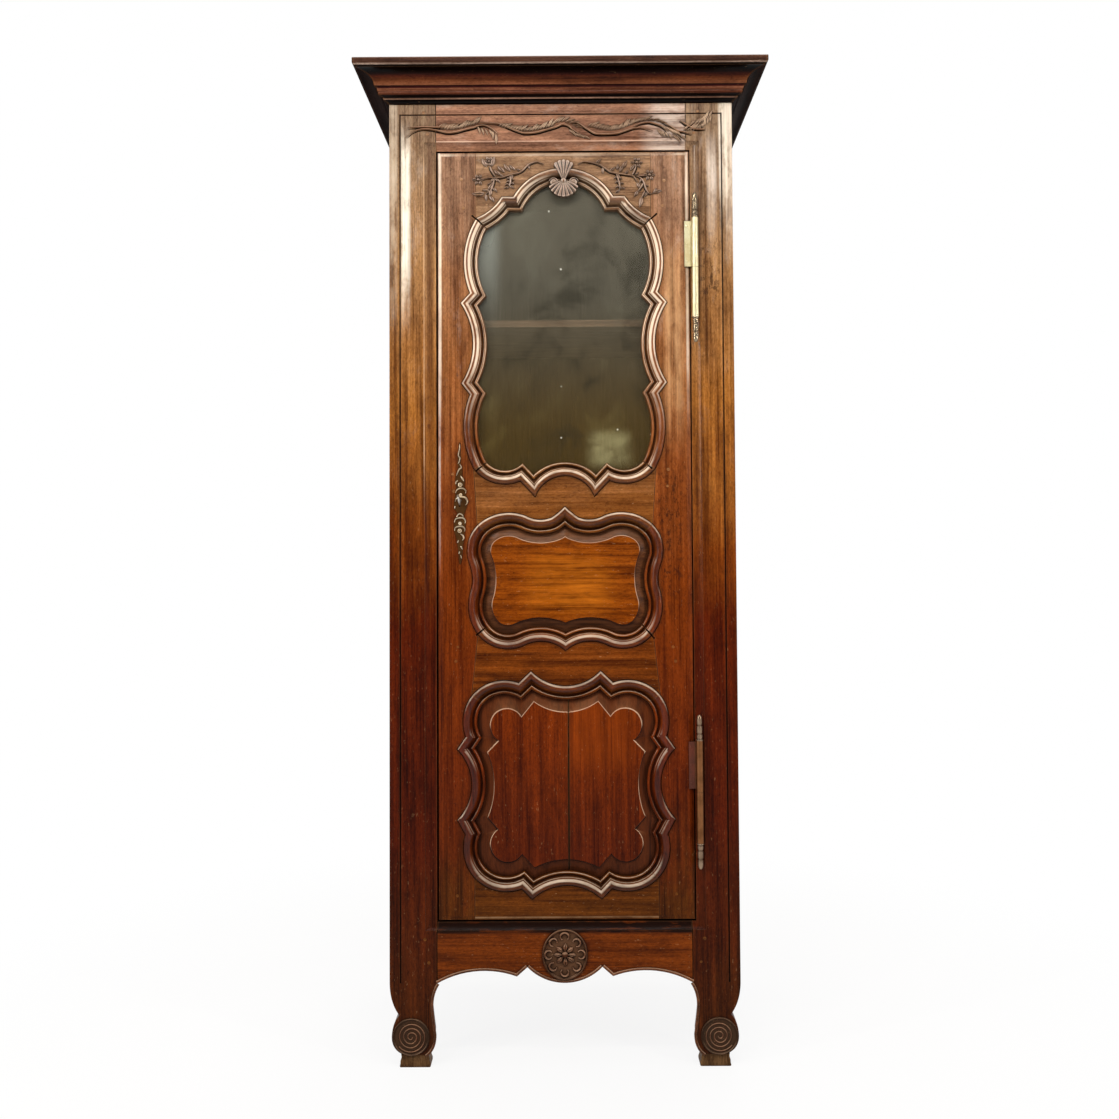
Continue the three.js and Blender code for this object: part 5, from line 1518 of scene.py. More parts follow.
def foot_ring(side, z, out, sway):
    """The outline of a foot block at one height, with rounded corners."""
    x0, x1 = FOOT_OUTER - out, FOOT_INNER + out
    y0, y1 = FRONT_Y + 2 - out / 2, POST_BACK_Y - 2 + out / 4
    corners = []
    for corner_x, corner_y, turn in ((x1, y1, 0), (x0, y1, 90), (x0, y0, 180), (x1, y0, 270)):
        middle_x = corner_x - copysign(FOOT_ROUND, corner_x - (x0 + x1) / 2)
        middle_y = corner_y - copysign(FOOT_ROUND, corner_y - (y0 + y1) / 2)
        for k in range(4):
            angle = radians(turn + k * 30)
            x = middle_x + FOOT_ROUND * cos(angle)
            corners.append((side * (HALF - x - sway), middle_y + FOOT_ROUND * sin(angle), z))
    return corners


def make_feet():
    for name, side in SIDES:
        foot = lofted("foot", [foot_ring(side, z, out, sway) for z, out, sway in FOOT_ROWS])
        placed(foot, f"foot_block_{name}_wood", "carcass", FOOT_WOOD, [f"foot_block_{name}"])


# Cornice


def cornice_ring(place):
    """The outline of the cornice, set where the place of its foot says."""
    base = BODY_HEIGHT + WOOD_GAP
    top = CORNICE_ROWS[-1][1]
    rows = [*CORNICE_ROWS, (-CORNICE_SEAT, top), (-CORNICE_SEAT, 0)]
    return [(*place(out), base + up) for out, up in rows]


def make_cornice():
    front = lofted("front", [
        cornice_ring(lambda out, side=side: (side * (HALF + out - MITRE_GAP), FRONT_Y - out))
        for _, side in SIDES
    ])
    placed(front, "cornice_front_wood", "carcass", CORNICE_WOOD, ["cornice_front"], 22)
    for name, side in SIDES:
        back = lofted("return", [
            cornice_ring(lambda out, side=side: (side * (HALF + out), FRONT_Y - out)),
            cornice_ring(lambda out, side=side: (side * (HALF + out), BACK_Y)),
        ])
        node = f"cornice_{name}"
        placed(back, f"{node}_wood", "carcass", RETURN_WOOD, [node], 22)


# Hinges


def knuckle_skin(joint, direction):
    """One barrel of a hinge, up or down from the joint between the two."""
    rows = [(0.4, 0.2), (BARREL_RADIUS - 0.5, 0.2), (BARREL_RADIUS, 0.8)]
    rows += [(BARREL_RADIUS, BARREL_LENGTH * share) for share in (0.3, 0.6, 0.9)]
    rows += [(BARREL_RADIUS, BARREL_LENGTH - 1.2), (BARREL_RADIUS - 0.8, BARREL_LENGTH), (0, BARREL_LENGTH)]
    rows = [(radius, direction * along) for radius, along in rows]
    return turned_skin(rows, HINGE_X, HINGE_Y, joint, HINGE_SEGMENTS)


def stud_skin(x, y, z, radius, rise):
    """A domed nail head on a face that looks to the front."""
    rows = [
        (0, 0.3), (radius, 0.3), (radius, -rise * 0.2), (radius * 0.85, -rise * 0.6),
        (radius * 0.5, -rise * 0.9), (0, -rise),
    ]
    return turned_skin(rows, x, y, z, 12, "Y")


def finial_skin(joint, direction):
    """The turned vase at the end of a hinge."""
    rows = [(radius * BARREL_RADIUS, BARREL_LENGTH + up * FINIAL_LENGTH) for radius, up in FINIAL_ROWS]
    rows = [(radius, direction * along) for radius, along in [(0, BARREL_LENGTH - 1), *rows]]
    return turned_skin(rows, HINGE_X, HINGE_Y, joint, HINGE_SEGMENTS)


def wing_skins(joint):
    """The part of a hinge on the door: a web behind the barrel, and a wing on the stile with its nails."""
    back = DOOR_FRONT_Y - WOOD_GAP
    front = back - LEAF_THICKNESS
    web_x = HINGE_X - WEB_OFFSET
    low, high = joint + LEAF_INSET, joint + BARREL_LENGTH - LEAF_INSET
    wing = loft(block(DOOR_RIGHT - WING_WIDTH, web_x, front, back, low, high, 0.6))
    web = loft(block(web_x - LEAF_THICKNESS, web_x, HINGE_Y, back, low, high, 0.3))
    nail_x = DOOR_RIGHT - WING_WIDTH * 0.55
    nails = [stud_skin(nail_x, front, low + (high - low) * share, 2.6, 1.0) for share in NAIL_SHARES]
    return [wing, web, *nails]


def make_hinges():
    for name, joint in HINGE_JOINTS.items():
        finish = BRASS if name == "upper" else LOW_BRASS
        tip_finish = FINIAL_BRASS if name == "upper" else LOW_FINIAL_BRASS
        for end, direction, body in (("top", 1, "door"), ("bottom", -1, "carcass")):
            finial = solid("finial", *finial_skin(joint, direction))
            placed(finial, f"hinge_{name}_{end}_finial", body, tip_finish, angle=40)
        upper = gathered("knuckle", [knuckle_skin(joint, 1), *wing_skins(joint)])
        node = f"hinge_{name}_door_knuckle"
        placed(upper, f"hinge_{name}_door_brass", "door", finish, [node], 40)
        leaf = loft(block(
            HINGE_X - LEAF_THICKNESS / 2, HINGE_X + LEAF_THICKNESS / 2, HINGE_Y + BARREL_RADIUS * 0.75,
            FRONT_Y + FRAME_LEAF_DEPTH, joint - BARREL_LENGTH + LEAF_INSET, joint - LEAF_INSET, 0.3,
        ))
        lower = gathered("knuckle", [knuckle_skin(joint, -1), leaf])
        node = f"hinge_{name}_frame_knuckle"
        placed(lower, f"hinge_{name}_frame_brass", "carcass", finish, [node], 40)


# What repeats or follows a line: leaves, feathers and petals, pegs, and the spirals on the feet


def input_named(tree, name):
    return next(item.identifier for item in tree.interface.items_tree if item.name == name)


def new_tree(name, inputs):
    """An empty node tree with named inputs, of which it gives back the first."""
    tree = bpy.data.node_groups.new(name, "GeometryNodeTree")
    for label, kind in inputs.items():
        tree.interface.new_socket(label, in_out="INPUT", socket_type="NodeSocket" + kind)
    tree.interface.new_socket("Result", in_out="OUTPUT", socket_type="NodeSocketGeometry")
    return add_node(tree, "NodeGroupInput")


def end_tree(given, geometry):
    """The tree ends with real meshes in their finish."""
    whole = given.node("GeometryNodeRealizeInstances", None, {"Geometry": geometry})
    end_node("NodeGroupOutput", given.node("GeometryNodeSetMaterial", None, {
        "Geometry": whole, "Material": given.other("Finish"),
    }))
    return given.tree


def chance_of(given, number):
    """A share between -1 and 1 for each copy."""
    inputs = {2: -1.0, 3: 1.0, "ID": number, "Seed": given.other("Seed")}
    return given.node("FunctionNodeRandomValue", {"data_type": "FLOAT"}, inputs, out=1)


def turned_by(given, facing, angle):
    """A rotation, turned further about its own Z."""
    turn = given.node("FunctionNodeAxisAngleToRotation", None, {"Axis": (0.0, 0.0, 1.0), "Angle": angle})
    return given.node("FunctionNodeRotateRotation", {"rotation_space": "LOCAL"}, {0: facing, 1: turn})


def copies(given, points, label, facing, size):
    """Copies of the object that an input names, one on each point."""
    thing = given.node("GeometryNodeObjectInfo", {"transform_space": "ORIGINAL"}, {
        "Object": given.other(label), "As Instance": True,
    }, out="Geometry")
    return given.node("GeometryNodeInstanceOnPoints", None, {
        "Points": points, "Instance": thing, "Rotation": facing, "Scale": size,
    })


def spray_tree():
    """Copies of one carved leaf set along a line, leaning out to one side or to both in turn."""
    given = new_tree("spray", {
        "Line": "Geometry", "Leaf": "Object", "Count": "Int", "Lean": "Float", "Both Sides": "Float",
        "Size Change": "Float", "Seed": "Int", "Finish": "Material",
    })
    line = given.node("GeometryNodeMeshToCurve", None, {"Mesh": given})
    spots = given.node("GeometryNodeCurveToPoints", {"mode": "COUNT"}, {
        "Curve": line, "Count": given.other("Count"),
    })
    number = given.node("GeometryNodeInputIndex")
    hand = 1 - number % 2.0 * given.other("Both Sides") * 2.0
    chance = chance_of(given, number)
    size = chance * given.other("Size Change") + 1.0
    along = given.node("FunctionNodeAxesToRotation", {"primary_axis": "X", "secondary_axis": "Z"}, {
        0: spots.other("Tangent"), 1: (0.0, -1.0, 0.0),
    })
    facing = turned_by(given, along, hand * given.other("Lean") + chance * 0.12)
    scale = given.node("ShaderNodeCombineXYZ", None, {"X": size, "Y": size * hand, "Z": 1.0})
    return end_tree(given, copies(given, spots, "Leaf", facing, scale))


def pegs_tree():
    """Copies of one peg on the points of a mesh."""
    given = new_tree("pegs", {
        "Places": "Geometry", "Peg": "Object", "Size Change": "Float", "Seed": "Int", "Finish": "Material",
    })
    chance = chance_of(given, given.node("GeometryNodeInputIndex"))
    size = chance * given.other("Size Change") + 1.0
    forward = given.node("FunctionNodeEulerToRotation", None, {0: (pi / 2, 0.0, 0.0)})
    facing = turned_by(given, forward, chance * 3.0)
    scale = given.node("ShaderNodeCombineXYZ", None, {"X": size, "Y": size, "Z": 1.0})
    return end_tree(given, copies(given, given, "Peg", facing, scale))


def scroll_tree():
    """A carved spiral line on a face that looks to the front."""
    given = new_tree("scroll", {
        "Start Radius": "Float", "End Radius": "Float", "Turns": "Float", "Line Width": "Float",
        "Line Height": "Float", "Middle": "Vector", "Hand": "Float", "Finish": "Material",
    })
    coil = given.node("GeometryNodeCurveSpiral", None, {
        "Resolution": 56, "Rotations": given.other("Turns"), "Start Radius": given,
        "End Radius": given.other("End Radius"), "Height": 0.0,
    })
    section = given.node("GeometryNodeCurvePrimitiveCircle", {"mode": "RADIUS"}, {
        "Resolution": 8, "Radius": 1.0,
    })
    shape = given.node("ShaderNodeCombineXYZ", None, {
        "X": given.other("Line Width"), "Y": given.other("Line Height"), "Z": 1.0,
    })
    section = given.node("GeometryNodeTransform", None, {"Geometry": section, "Scale": shape})
    line = given.node("GeometryNodeCurveToMesh", None, {
        "Curve": coil, "Profile Curve": section, "Fill Caps": True,
    })
    mirror = given.node("ShaderNodeCombineXYZ", None, {"X": given.other("Hand"), "Y": 1.0, "Z": 1.0})
    line = given.node("GeometryNodeTransform", None, {"Geometry": line, "Scale": mirror})
    line = given.node("GeometryNodeTransform", None, {
        "Geometry": line, "Translation": given.other("Middle"), "Rotation": (pi / 2, 0.0, 0.0),
    })
    return end_tree(given, line)


SPRAY = spray_tree()
PEGS = pegs_tree()
SCROLL = scroll_tree()


def grown(name, tree, points, edges, values):
    """The mesh that a node tree makes from points and edges in millimetres."""
    mesh = bpy.data.meshes.new(name)
    mesh.from_pydata([Vector(point) * MM for point in points], edges, [])
    host = in_scene(name, mesh)
    modifier = host.modifiers.new("tree", "NODES")
    modifier.node_group = tree
    for label, value in values.items():
        modifier[input_named(tree, label)] = value
    made = fresh_mesh(host)
    forget(host)
    return in_scene(name, made)


def spray(path, y, leaf, finish, count, lean, both=0.0, change=0.15, seed=1, closed=False):
    """Leaves along a line on the plane y."""
    points = [(spot.x, y, spot.y) for spot in path]
    edges = [(i, i + 1) for i in range(len(points) - 1)]
    if closed:
        edges.append((len(points) - 1, 0))
    return grown("spray", SPRAY, points, edges, {
        "Leaf": leaf, "Finish": finish, "Count": count, "Lean": lean, "Both Sides": both,
        "Size Change": change, "Seed": seed,
    })


def merged(name, things):
    """Several finished meshes in one object."""
    whole = bmesh.new()
    for thing in things:
        whole.from_mesh(thing.data)
    mesh = bpy.data.meshes.new(name)
    whole.to_mesh(mesh)
    whole.free()
    forget(*things)
    return in_scene(name, mesh)


def carved_lines(paths, y, width, height):
    return [ridge(smooth_path(rows), width, height, y) for rows in paths]


# Frieze: a waving stem with feathered leaves, from left to right. A spray is given by its line, the number
# of its leaves and their lean.
FRIEZE_STEMS = [
    [(-330, 1951), (-316, 1962), (-300, 1968), (-285, 1969), (-267, 1966.5), (-253, 1963), (-240, 1960.4),
     (-224, 1961.7), (-206, 1966.6), (-186, 1971.3), (-173, 1975.8), (-159, 1975.4), (-146, 1969),
     (-133, 1957)],
    [(-326, 1972), (-295, 1973.4), (-263, 1972.4), (-236, 1975), (-209, 1981)],
    [(-184, 1982.4), (-154, 1981.8), (-128, 1978.6), (-111, 1971.1), (-94, 1964), (-76, 1958.6),
     (-54, 1959.6), (-31, 1965.6), (-9, 1972), (3, 1977), (16, 1974.5), (25, 1966.6), (37, 1958.6), (48, 1953)],
    [(12, 1982.8), (29, 1982.8), (42, 1977), (57, 1966.6), (74, 1957), (92, 1955.4), (118, 1956.6),
     (136, 1961.9), (155, 1967.8), (173, 1969), (197, 1962)],
    [(155, 1971.5), (169, 1977.8), (187, 1980.6), (203, 1977), (217, 1971.1), (229, 1960)],
    [(216, 1982.6), (233, 1972.4), (249, 1962), (261, 1959.9), (280, 1954.2)],
    [(255, 1984.9), (268, 1975), (286, 1966), (310, 1965)],
]
FRIEZE_SPRAYS = [
    ([(-262, 1970), (-240, 1966), (-218, 1968), (-196, 1974), (-180, 1979)], 14, 0.42),
    ([(-176, 1974), (-162, 1969), (-148, 1966), (-138, 1958)], 6, -1.1),
    ([(-132, 1974), (-112, 1968), (-92, 1963), (-68, 1962), (-44, 1966), (-20, 1972)], 20, 0.5),
    ([(-14, 1978), (2, 1982), (18, 1979), (32, 1972)], 7, 0.2),
    ([(18, 1966), (30, 1958), (44, 1953)], 5, -0.35),
    ([(58, 1972), (80, 1966), (104, 1962), (128, 1966), (150, 1974)], 18, 0.5),
    ([(152, 1976), (174, 1983), (196, 1984), (212, 1980)], 8, 0.1),
    ([(206, 1966), (222, 1960), (238, 1954), (256, 1952)], 7, -0.9),
    ([(214, 1976), (228, 1970), (242, 1964)], 6, -0.7),
    ([(262, 1962), (284, 1962), (302, 1968), (318, 1980)], 10, 0.55),
    ([(276, 1972), (298, 1978), (316, 1990)], 6, 0.3),
]


def make_frieze():
    """Low carving on the rail and the stiles, above the doorway."""
    feather = solid("feather", *leaf_skin(19, 5.2, 3.0, bend=0.2, rows=8))
    pieces = [gathered("stems", carved_lines(FRIEZE_STEMS, FRONT_Y, 4.0, 2.6))]
    for seed, (rows, count, lean) in enumerate(FRIEZE_SPRAYS):
        path = smooth_path(rows)
        pieces.append(spray(path, FRONT_Y, feather, CARVED_FRIEZE, count, lean, change=0.25, seed=seed))
    forget(feather)
    placed(merged("frieze", pieces), "frieze_carving", "carcass", CARVED_FRIEZE)


# Branches on the top rail of the door
BRANCHES = [
    [(36, 1893), (48, 1898), (61, 1897), (75, 1894), (85, 1890), (95, 1883), (105, 1876), (117, 1873),
     (136, 1870), (153, 1867), (159, 1861), (163, 1853)],
    [(152, 1868), (157, 1878), (161, 1890)],
    [(158, 1868), (168, 1864), (174, 1858), (178, 1849), (182, 1837), (188, 1829), (198, 1829)],
    [(165, 1867), (176, 1867), (184, 1869)],
    [(118, 1872), (122, 1862), (125, 1850), (126, 1838)],
    [(180, 1836), (176, 1828), (172, 1820)],
    [(176, 1852), (171, 1843), (165, 1834)],
    [(-36, 1893), (-48, 1898), (-58, 1897), (-69, 1892), (-81, 1880), (-93, 1874), (-104, 1871.7),
     (-119, 1867), (-130, 1864.6), (-143, 1864.6), (-156, 1864), (-167, 1861)],
    [(-139, 1866), (-147, 1879), (-151, 1890)],
    [(-109, 1870), (-107, 1858), (-110, 1845)],
    [(-141, 1864), (-144, 1852), (-149, 1838), (-160, 1830)],
]
BRANCH_LEAVES = [
    (195, 1830, 0.1, 1.1), (172, 1822, -1.9, 1.2), (165, 1836, -2.3, 0.9), (162, 1852, -1.2, 0.8),
    (132, 1884, 0.9, 1.0), (126, 1876, 1.0, 0.9), (148, 1878, 0.8, 0.9), (120, 1880, 1.2, 0.7),
    (-144, 1853, -2.4, 1.0), (-148, 1840, -2.0, 0.9), (-163, 1831, 3.0, 1.4), (-152, 1826, -1.1, 0.9),
    (-120, 1876, 2.2, 1.1), (-108, 1878, 2.1, 1.1), (-128, 1870, 2.3, 1.0), (-97, 1880, 2.2, 0.9),
    (-146, 1890, 1.2, 1.1), (-158, 1888, 1.9, 1.1),
]
BRANCH_FLOWERS = [(162, 1896, 1.1), (189, 1869, 1.1), (-176, 1861, 1.15), (-153, 1900, 0.95)]


def circle(x, z, radius_x, radius_z):
    return [Vector((x + radius_x * cos(angle), z + radius_z * sin(angle))) for angle in round_steps(40)]


def dome_skin(x, y, z, radius, rise, segments=14):
    rows = [
        (0, 0.6), (radius, 0.6), (radius, -rise * 0.25), (radius * 0.86, -rise * 0.6),
        (radius * 0.55, -rise * 0.88), (radius * 0.2, -rise * 0.99), (0, -rise),
    ]
    return turned_skin(rows, x, y, z, segments, "Y")


def leaf_at(x, z, turn, size):
    """One leaf laid flat on the rail, turned and sized."""
    points, faces = leaf_skin(19 * size, 9.4 * size, 3.8, bend=0.14)
    right, up = cos(turn), sin(turn)
    laid = [
        (x + along * right - across * up, DOOR_FRONT_Y - rise, z + along * up + across * right)
        for along, across, rise in points
    ]
    return laid, faces


def make_branches():
    y = DOOR_FRONT_Y
    pieces = [gathered("stems", carved_lines(BRANCHES, y, 4.0, 3.4))]
    skins = [leaf_at(*row) for row in BRANCH_LEAVES]
    petal = solid("petal", *leaf_skin(9.5, 7, 3.6, rows=5, stalk=0))
    for x, z, size in BRANCH_FLOWERS:
        skins.append(dome_skin(x, y, z, 2.8 * size, 3.8))
        ring = circle(x, z, 3.2 * size, 3.2 * size)
        pieces.append(spray(ring, y, petal, CARVED_DOOR, 6, -pi / 2, change=0.08, closed=True))
    pieces.append(gathered("leaves", skins))
    small = solid("leaflet", *leaf_skin(11, 5.2, 3.2))
    for rows in (BRANCHES[4], BRANCHES[9]):
        pieces.append(spray(smooth_path(rows), y, small, CARVED_DOOR, 8, 1.1, both=1.0))
    twig = solid("twig_leaf", *leaf_skin(13, 5.8, 3.4, bend=0.1))
    for seed, rows in enumerate((BRANCHES[0][3:9], BRANCHES[2], BRANCHES[7][3:10], BRANCHES[10])):
        path = smooth_path(rows)
        pieces.append(spray(path, y, twig, CARVED_DOOR, 5, 0.9, both=1.0, change=0.3, seed=seed))
    forget(petal, small, twig)
    placed(merged("branches", pieces), "door_head_carving", "door", CARVED_DOOR)


# Shell over the window: its waist, its ribs, and the spirals beside the waist
SHELL_X = 6
SHELL_WAIST_Z = 1857
SHELL_RIBS = 9
PLUME_RIBS = 5
SPIRAL_OUT = 21
SPIRAL_Z = SHELL_WAIST_Z - 3
SPIRAL_TURNS = 1.45
SPIRAL_STEPS = 33


def shell_fan(length, spread, rise, waist, ribs, down, steps=14):
    """A fan of ribs from a narrow waist, with a scalloped edge."""
    columns = ribs * 6
    rings = []
    for i in range(steps + 1):
        share = i / steps
        top = []
        for k in range(columns + 1):
            across = k / columns * 2 - 1
            rib = abs(sin(pi * ribs * k / columns))
            angle = across * spread
            reach = waist + (length - waist) * share * (1 - 0.1 * across ** 2) + (1.6 * rib * share ** 2)
            x = SHELL_X + reach * sin(angle)
            z = SHELL_WAIST_Z + down * (reach * cos(angle) - waist * 0.4)
            swell = rise * sin(pi * (0.18 + 0.72 * share)) + 2.8 * rib * (0.25 + share)
            top.append((x, DOOR_FRONT_Y + 2 - swell - 3.2, z))
        bottom = [(x, DOOR_FRONT_Y + 5.5, z) for x, _, z in reversed(top)]
        rings.append(top + bottom)
    return loft(rings)


def shell_spiral(side):
    """A spiral beside the waist of the shell."""
    line = []
    for k in range(SPIRAL_STEPS + 1):
        share = k / SPIRAL_STEPS
        angle = 2 * pi * SPIRAL_TURNS * share
        radius = 2.0 + 8.2 * share
        line.append(Vector((
            SHELL_X + side * (SPIRAL_OUT - radius * cos(angle)), SPIRAL_Z + radius * sin(angle),
        )))
    return ridge(line, 4.4, 3.6, DOOR_FRONT_Y - 1.5, blunt=0.4, sunk=5)


def make_shell():
    skins = [
        shell_fan(36, radians(66), 6.0, 7, SHELL_RIBS, -1),
        shell_fan(45, radians(30), 4.4, 5, PLUME_RIBS, 1),
    ]
    for _, side in SIDES:
        skins.append(shell_spiral(side))
        skins.append(dome_skin(SHELL_X + side * SPIRAL_OUT, DOOR_FRONT_Y - 1.4, SPIRAL_Z, 7.6, 2.8, 20))
    skins.append(dome_skin(SHELL_X, DOOR_FRONT_Y - 3, SHELL_WAIST_Z, 5.6, 3.6, 20))
    placed(gathered("shell", skins), "door_head_shell", "door", SHELL_WOOD, angle=50)


# Medallion on the apron, and the scrolls on the feet


# The oval of the medallion: share of its size, and height over its floor
MEDALLION_FLOOR_Y = FRONT_Y - WOOD_GAP - 0.4
MEDALLION_ROWS = [
    (0, -0.6), (1, -0.6), (1, 2), (0.988, 3), (0.965, 3.6), (0.94, 3.4), (0.925, 2.4), (0.91, 1), (0.89, 0),
    (0.5, 0), (0, 0),
]


def medallion_skin():
    rings = []
    for share, rise in MEDALLION_ROWS:
        reach = max(share, 0.001)
        rings.append([
            (
                reach * MEDALLION_HALF_WIDTH * cos(angle), MEDALLION_FLOOR_Y - rise,
                MEDALLION_Z + reach * MEDALLION_HALF_HEIGHT * sin(angle),
            )
            for angle in round_steps(64)
        ])
    return loft(rings)


def make_medallion():
    """An oval with a flower in it, and a ring of arcs round the flower."""
    floor = MEDALLION_FLOOR_Y
    petal = solid("petal", *leaf_skin(17, 14, 4.8, rows=8, stalk=0.6))
    arc = [Vector((6.2 + 7.8 * cos(radians(a)), 8.6 * sin(radians(a)))) for a in range(-140, 141, 20)]
    points, faces = ridge(arc, 4.6, 4.6, 0, blunt=0.55, sunk=0.8)
    lobe = solid("lobe", [(x, z, -y) for x, y, z in points], faces)
    inner = circle(0, MEDALLION_Z, 6.2, 6.8)
    outer = circle(0, MEDALLION_Z, 27.5, 30.5)
    pieces = [
        gathered("ball", [dome_skin(0, floor, MEDALLION_Z, 6.6, 5.4, 24)]),
        spray(inner, floor, petal, CARVED_LOW, 8, -pi / 2, change=0.04, closed=True),
        spray(outer, floor, lobe, CARVED_LOW, 8, -pi / 2, change=0.05, seed=4, closed=True),
    ]
    forget(petal, lobe)
    flower = merged("medallion", pieces)
    placed(flower, "apron_medallion_flower", "carcass", CARVED_LOW, ["apron_medallion"], 45)
    ground = solid("ground", *medallion_skin())
    placed(ground, "apron_medallion_ground", "carcass", MEDALLION_GROUND, angle=45)


def outward(thing):
    """Turn all faces of a mesh outwards."""
    mesh = bmesh.new()
    mesh.from_mesh(thing.data)
    bmesh.ops.remove_doubles(mesh, verts=mesh.verts, dist=1e-6)
    bmesh.ops.recalc_face_normals(mesh, faces=mesh.faces)
    mesh.to_mesh(thing.data)
    mesh.free()
    return thing


# The turned disc under each scroll: radius, and depth from the face
DISC_ROWS = [
    (0, 0.8), (38.6, 0.8), (38.6, -1.2), (38, -2.6), (36.8, -3), (35.6, -2.4), (34.8, -0.9), (33.6, -0.5),
    (20, -0.6), (8, -0.8), (0, -0.9),
]


def make_scrolls():
    for name, side in SIDES:
        x = side * (HALF - SCROLL_IN)
        coil = grown("scroll", SCROLL, [(0, 0, 0)], [], {
            "Start Radius": SCROLL_START * MM, "End Radius": SCROLL_END * MM, "Turns": SCROLL_TURNS,
            "Line Width": 1.3 * MM, "Line Height": 1.6 * MM, "Hand": float(-side),
            "Middle": Vector((x, FRONT_Y - 0.8, SCROLL_Z)) * MM, "Finish": CARVED_SCROLL,
        })
        placed(outward(coil), f"foot_scroll_{name}", "carcass", CARVED_SCROLL, angle=60)
        disc = solid("disc", *turned_skin(DISC_ROWS, x, FRONT_Y, SCROLL_Z, 64, "Y"))
        placed(disc, f"foot_disc_{name}", "carcass", DISC_WOOD, angle=40)


# Pegs that hold the tenons, on the frame and on the door
PEG_ROWS = [(0, -1), (3.3, -1), (3.3, 0.25), (2.8, 0.6), (1.2, 0.75), (0, 0.8)]
FRAME_PEGS = [
    (side * x, z) for _, side in SIDES for x, z in ((284, 1958), (292, 2004), (283, 214), (291, 262))
]
DOOR_PEGS = [
    (220, 1857), (216, 1803), (-212, 1862), (-208, 1800), (224, 1240), (222, 1205), (-232, 1232),
    (-229, 1196), (236, 836), (231, 866), (-226, 838), (-222, 868), (238, 322), (234, 352), (-228, 322),
    (-224, 350),
]


def make_pegs():
    peg = solid("peg", *turned_skin(PEG_ROWS, 0, 0, 0, 10))
    for name, body, y, places in (
        ("frame_pegs", "carcass", FRONT_Y, FRAME_PEGS), ("door_pegs", "door", DOOR_FRONT_Y, DOOR_PEGS),
    ):
        points = [(x, y, z) for x, z in places]
        inputs = {"Peg": peg, "Size Change": 0.15, "Seed": 3, "Finish": PEG_WOOD}
        made = grown(name, PEGS, points, [], inputs)
        placed(made, name, body, PEG_WOOD)
    forget(peg)


# Key plate, key and lock


# Strokes of the key plate: x from its middle and height, with their width
PLATE_STROKES = [
    ([(0, 1296), (-0.3, 1286), (-2.6, 1272), (0.9, 1266), (-2.6, 1254.6)], 2.6),
    ([(0.9, 1253), (3.5, 1246), (-0.9, 1242.6), (-4.4, 1235.7), (-7, 1228.7)], 3.0),
    ([(1.7, 1228.7), (5.6, 1222.7), (9.1, 1217.5)], 3.4),
    ([(-4.4, 1218.4), (-7.9, 1215), (-7.9, 1211.5)], 3.0),
    ([(-8.7, 1192.5), (-6.1, 1198.5), (0, 1202), (7.9, 1201.5), (13, 1196.8), (12.2, 1191.6)], 3.2),
    ([(-9.6, 1174.3), (-6.1, 1181.3), (1.7, 1183.8), (10.5, 1183), (15.7, 1177), (15.4, 1170.9),
      (12.2, 1166.6)], 4.0),
    ([(-9.6, 1164.8), (-10.5, 1159.7)], 2.8),
    ([(-6.1, 1141.5), (-3.5, 1146.7), (0.9, 1148.4), (6.1, 1145), (7, 1141.5)], 2.8),
    ([(-11.4, 1130.3), (-8.7, 1137.2), (-0.9, 1139.8), (7.9, 1138.9), (11.9, 1132.9), (10.5, 1128.6)], 3.2),
    ([(-10.8, 1113), (-9.6, 1119), (-2.6, 1121.7), (6.1, 1121.3), (10.5, 1116.5), (10.1, 1111.3)], 3.2),
    ([(1.7, 1106), (7, 1101.8), (7.9, 1095.8), (5.2, 1092.3)], 3.4),
    ([(-2.6, 1092.3), (-5.2, 1087)], 2.8),
    ([(1.7, 1080.2), (5.6, 1073.3)], 2.8),
    ([(-0.3, 1069), (-2.1, 1063.8)], 2.4),
    ([(1.7, 1061.2), (3.5, 1054.3)], 2.2),
]
PLATE_BOSSES = [(0.9, 1209.7, 3.6), (-0.3, 1112.5, 3.4), (2, 1188, 2.6), (0.5, 1128, 2.4)]
# Its outline: height, and how far it reaches to the left and to the right
PLATE_EDGE = [
    (1299, 0.8, 1), (1272, 3.6, 2.2), (1254, 4.2, 2.4), (1244, 3, 5.2), (1229, 8, 5), (1217, 9, 10.4),
    (1206, 7, 9), (1199, 8, 13), (1189, 9.6, 13.2), (1182, 10, 15.6), (1170, 11.6, 16.2), (1160, 11.4, 13.6),
    (1151, 5.6, 10), (1142, 6.6, 8.6), (1137, 10.8, 11.6), (1128, 12, 12), (1120, 10.8, 10.8),
    (1110, 11.2, 10.4), (1103, 8.4, 9), (1092, 6.2, 8.2), (1080, 4.4, 6.6), (1070, 3.2, 6), (1054, 1.8, 4.2),
    (1042, 0.6, 1.6),
]


def ring_skin(x, y, z, radius, width, rise):
    """A small raised ring on a face that looks to the front."""
    section = [
        (radius + across * width / 2, y - up * rise)
        for across, up in ((-1, 0), (-0.7, 0.7), (0, 1), (0.7, 0.7), (1, 0))
    ]
    rings = [
        [(x + cos(angle) * reach, depth, z + sin(angle) * reach) for reach, depth in section]
        for angle in round_steps(20)
    ]
    return loft(rings, looped=True)


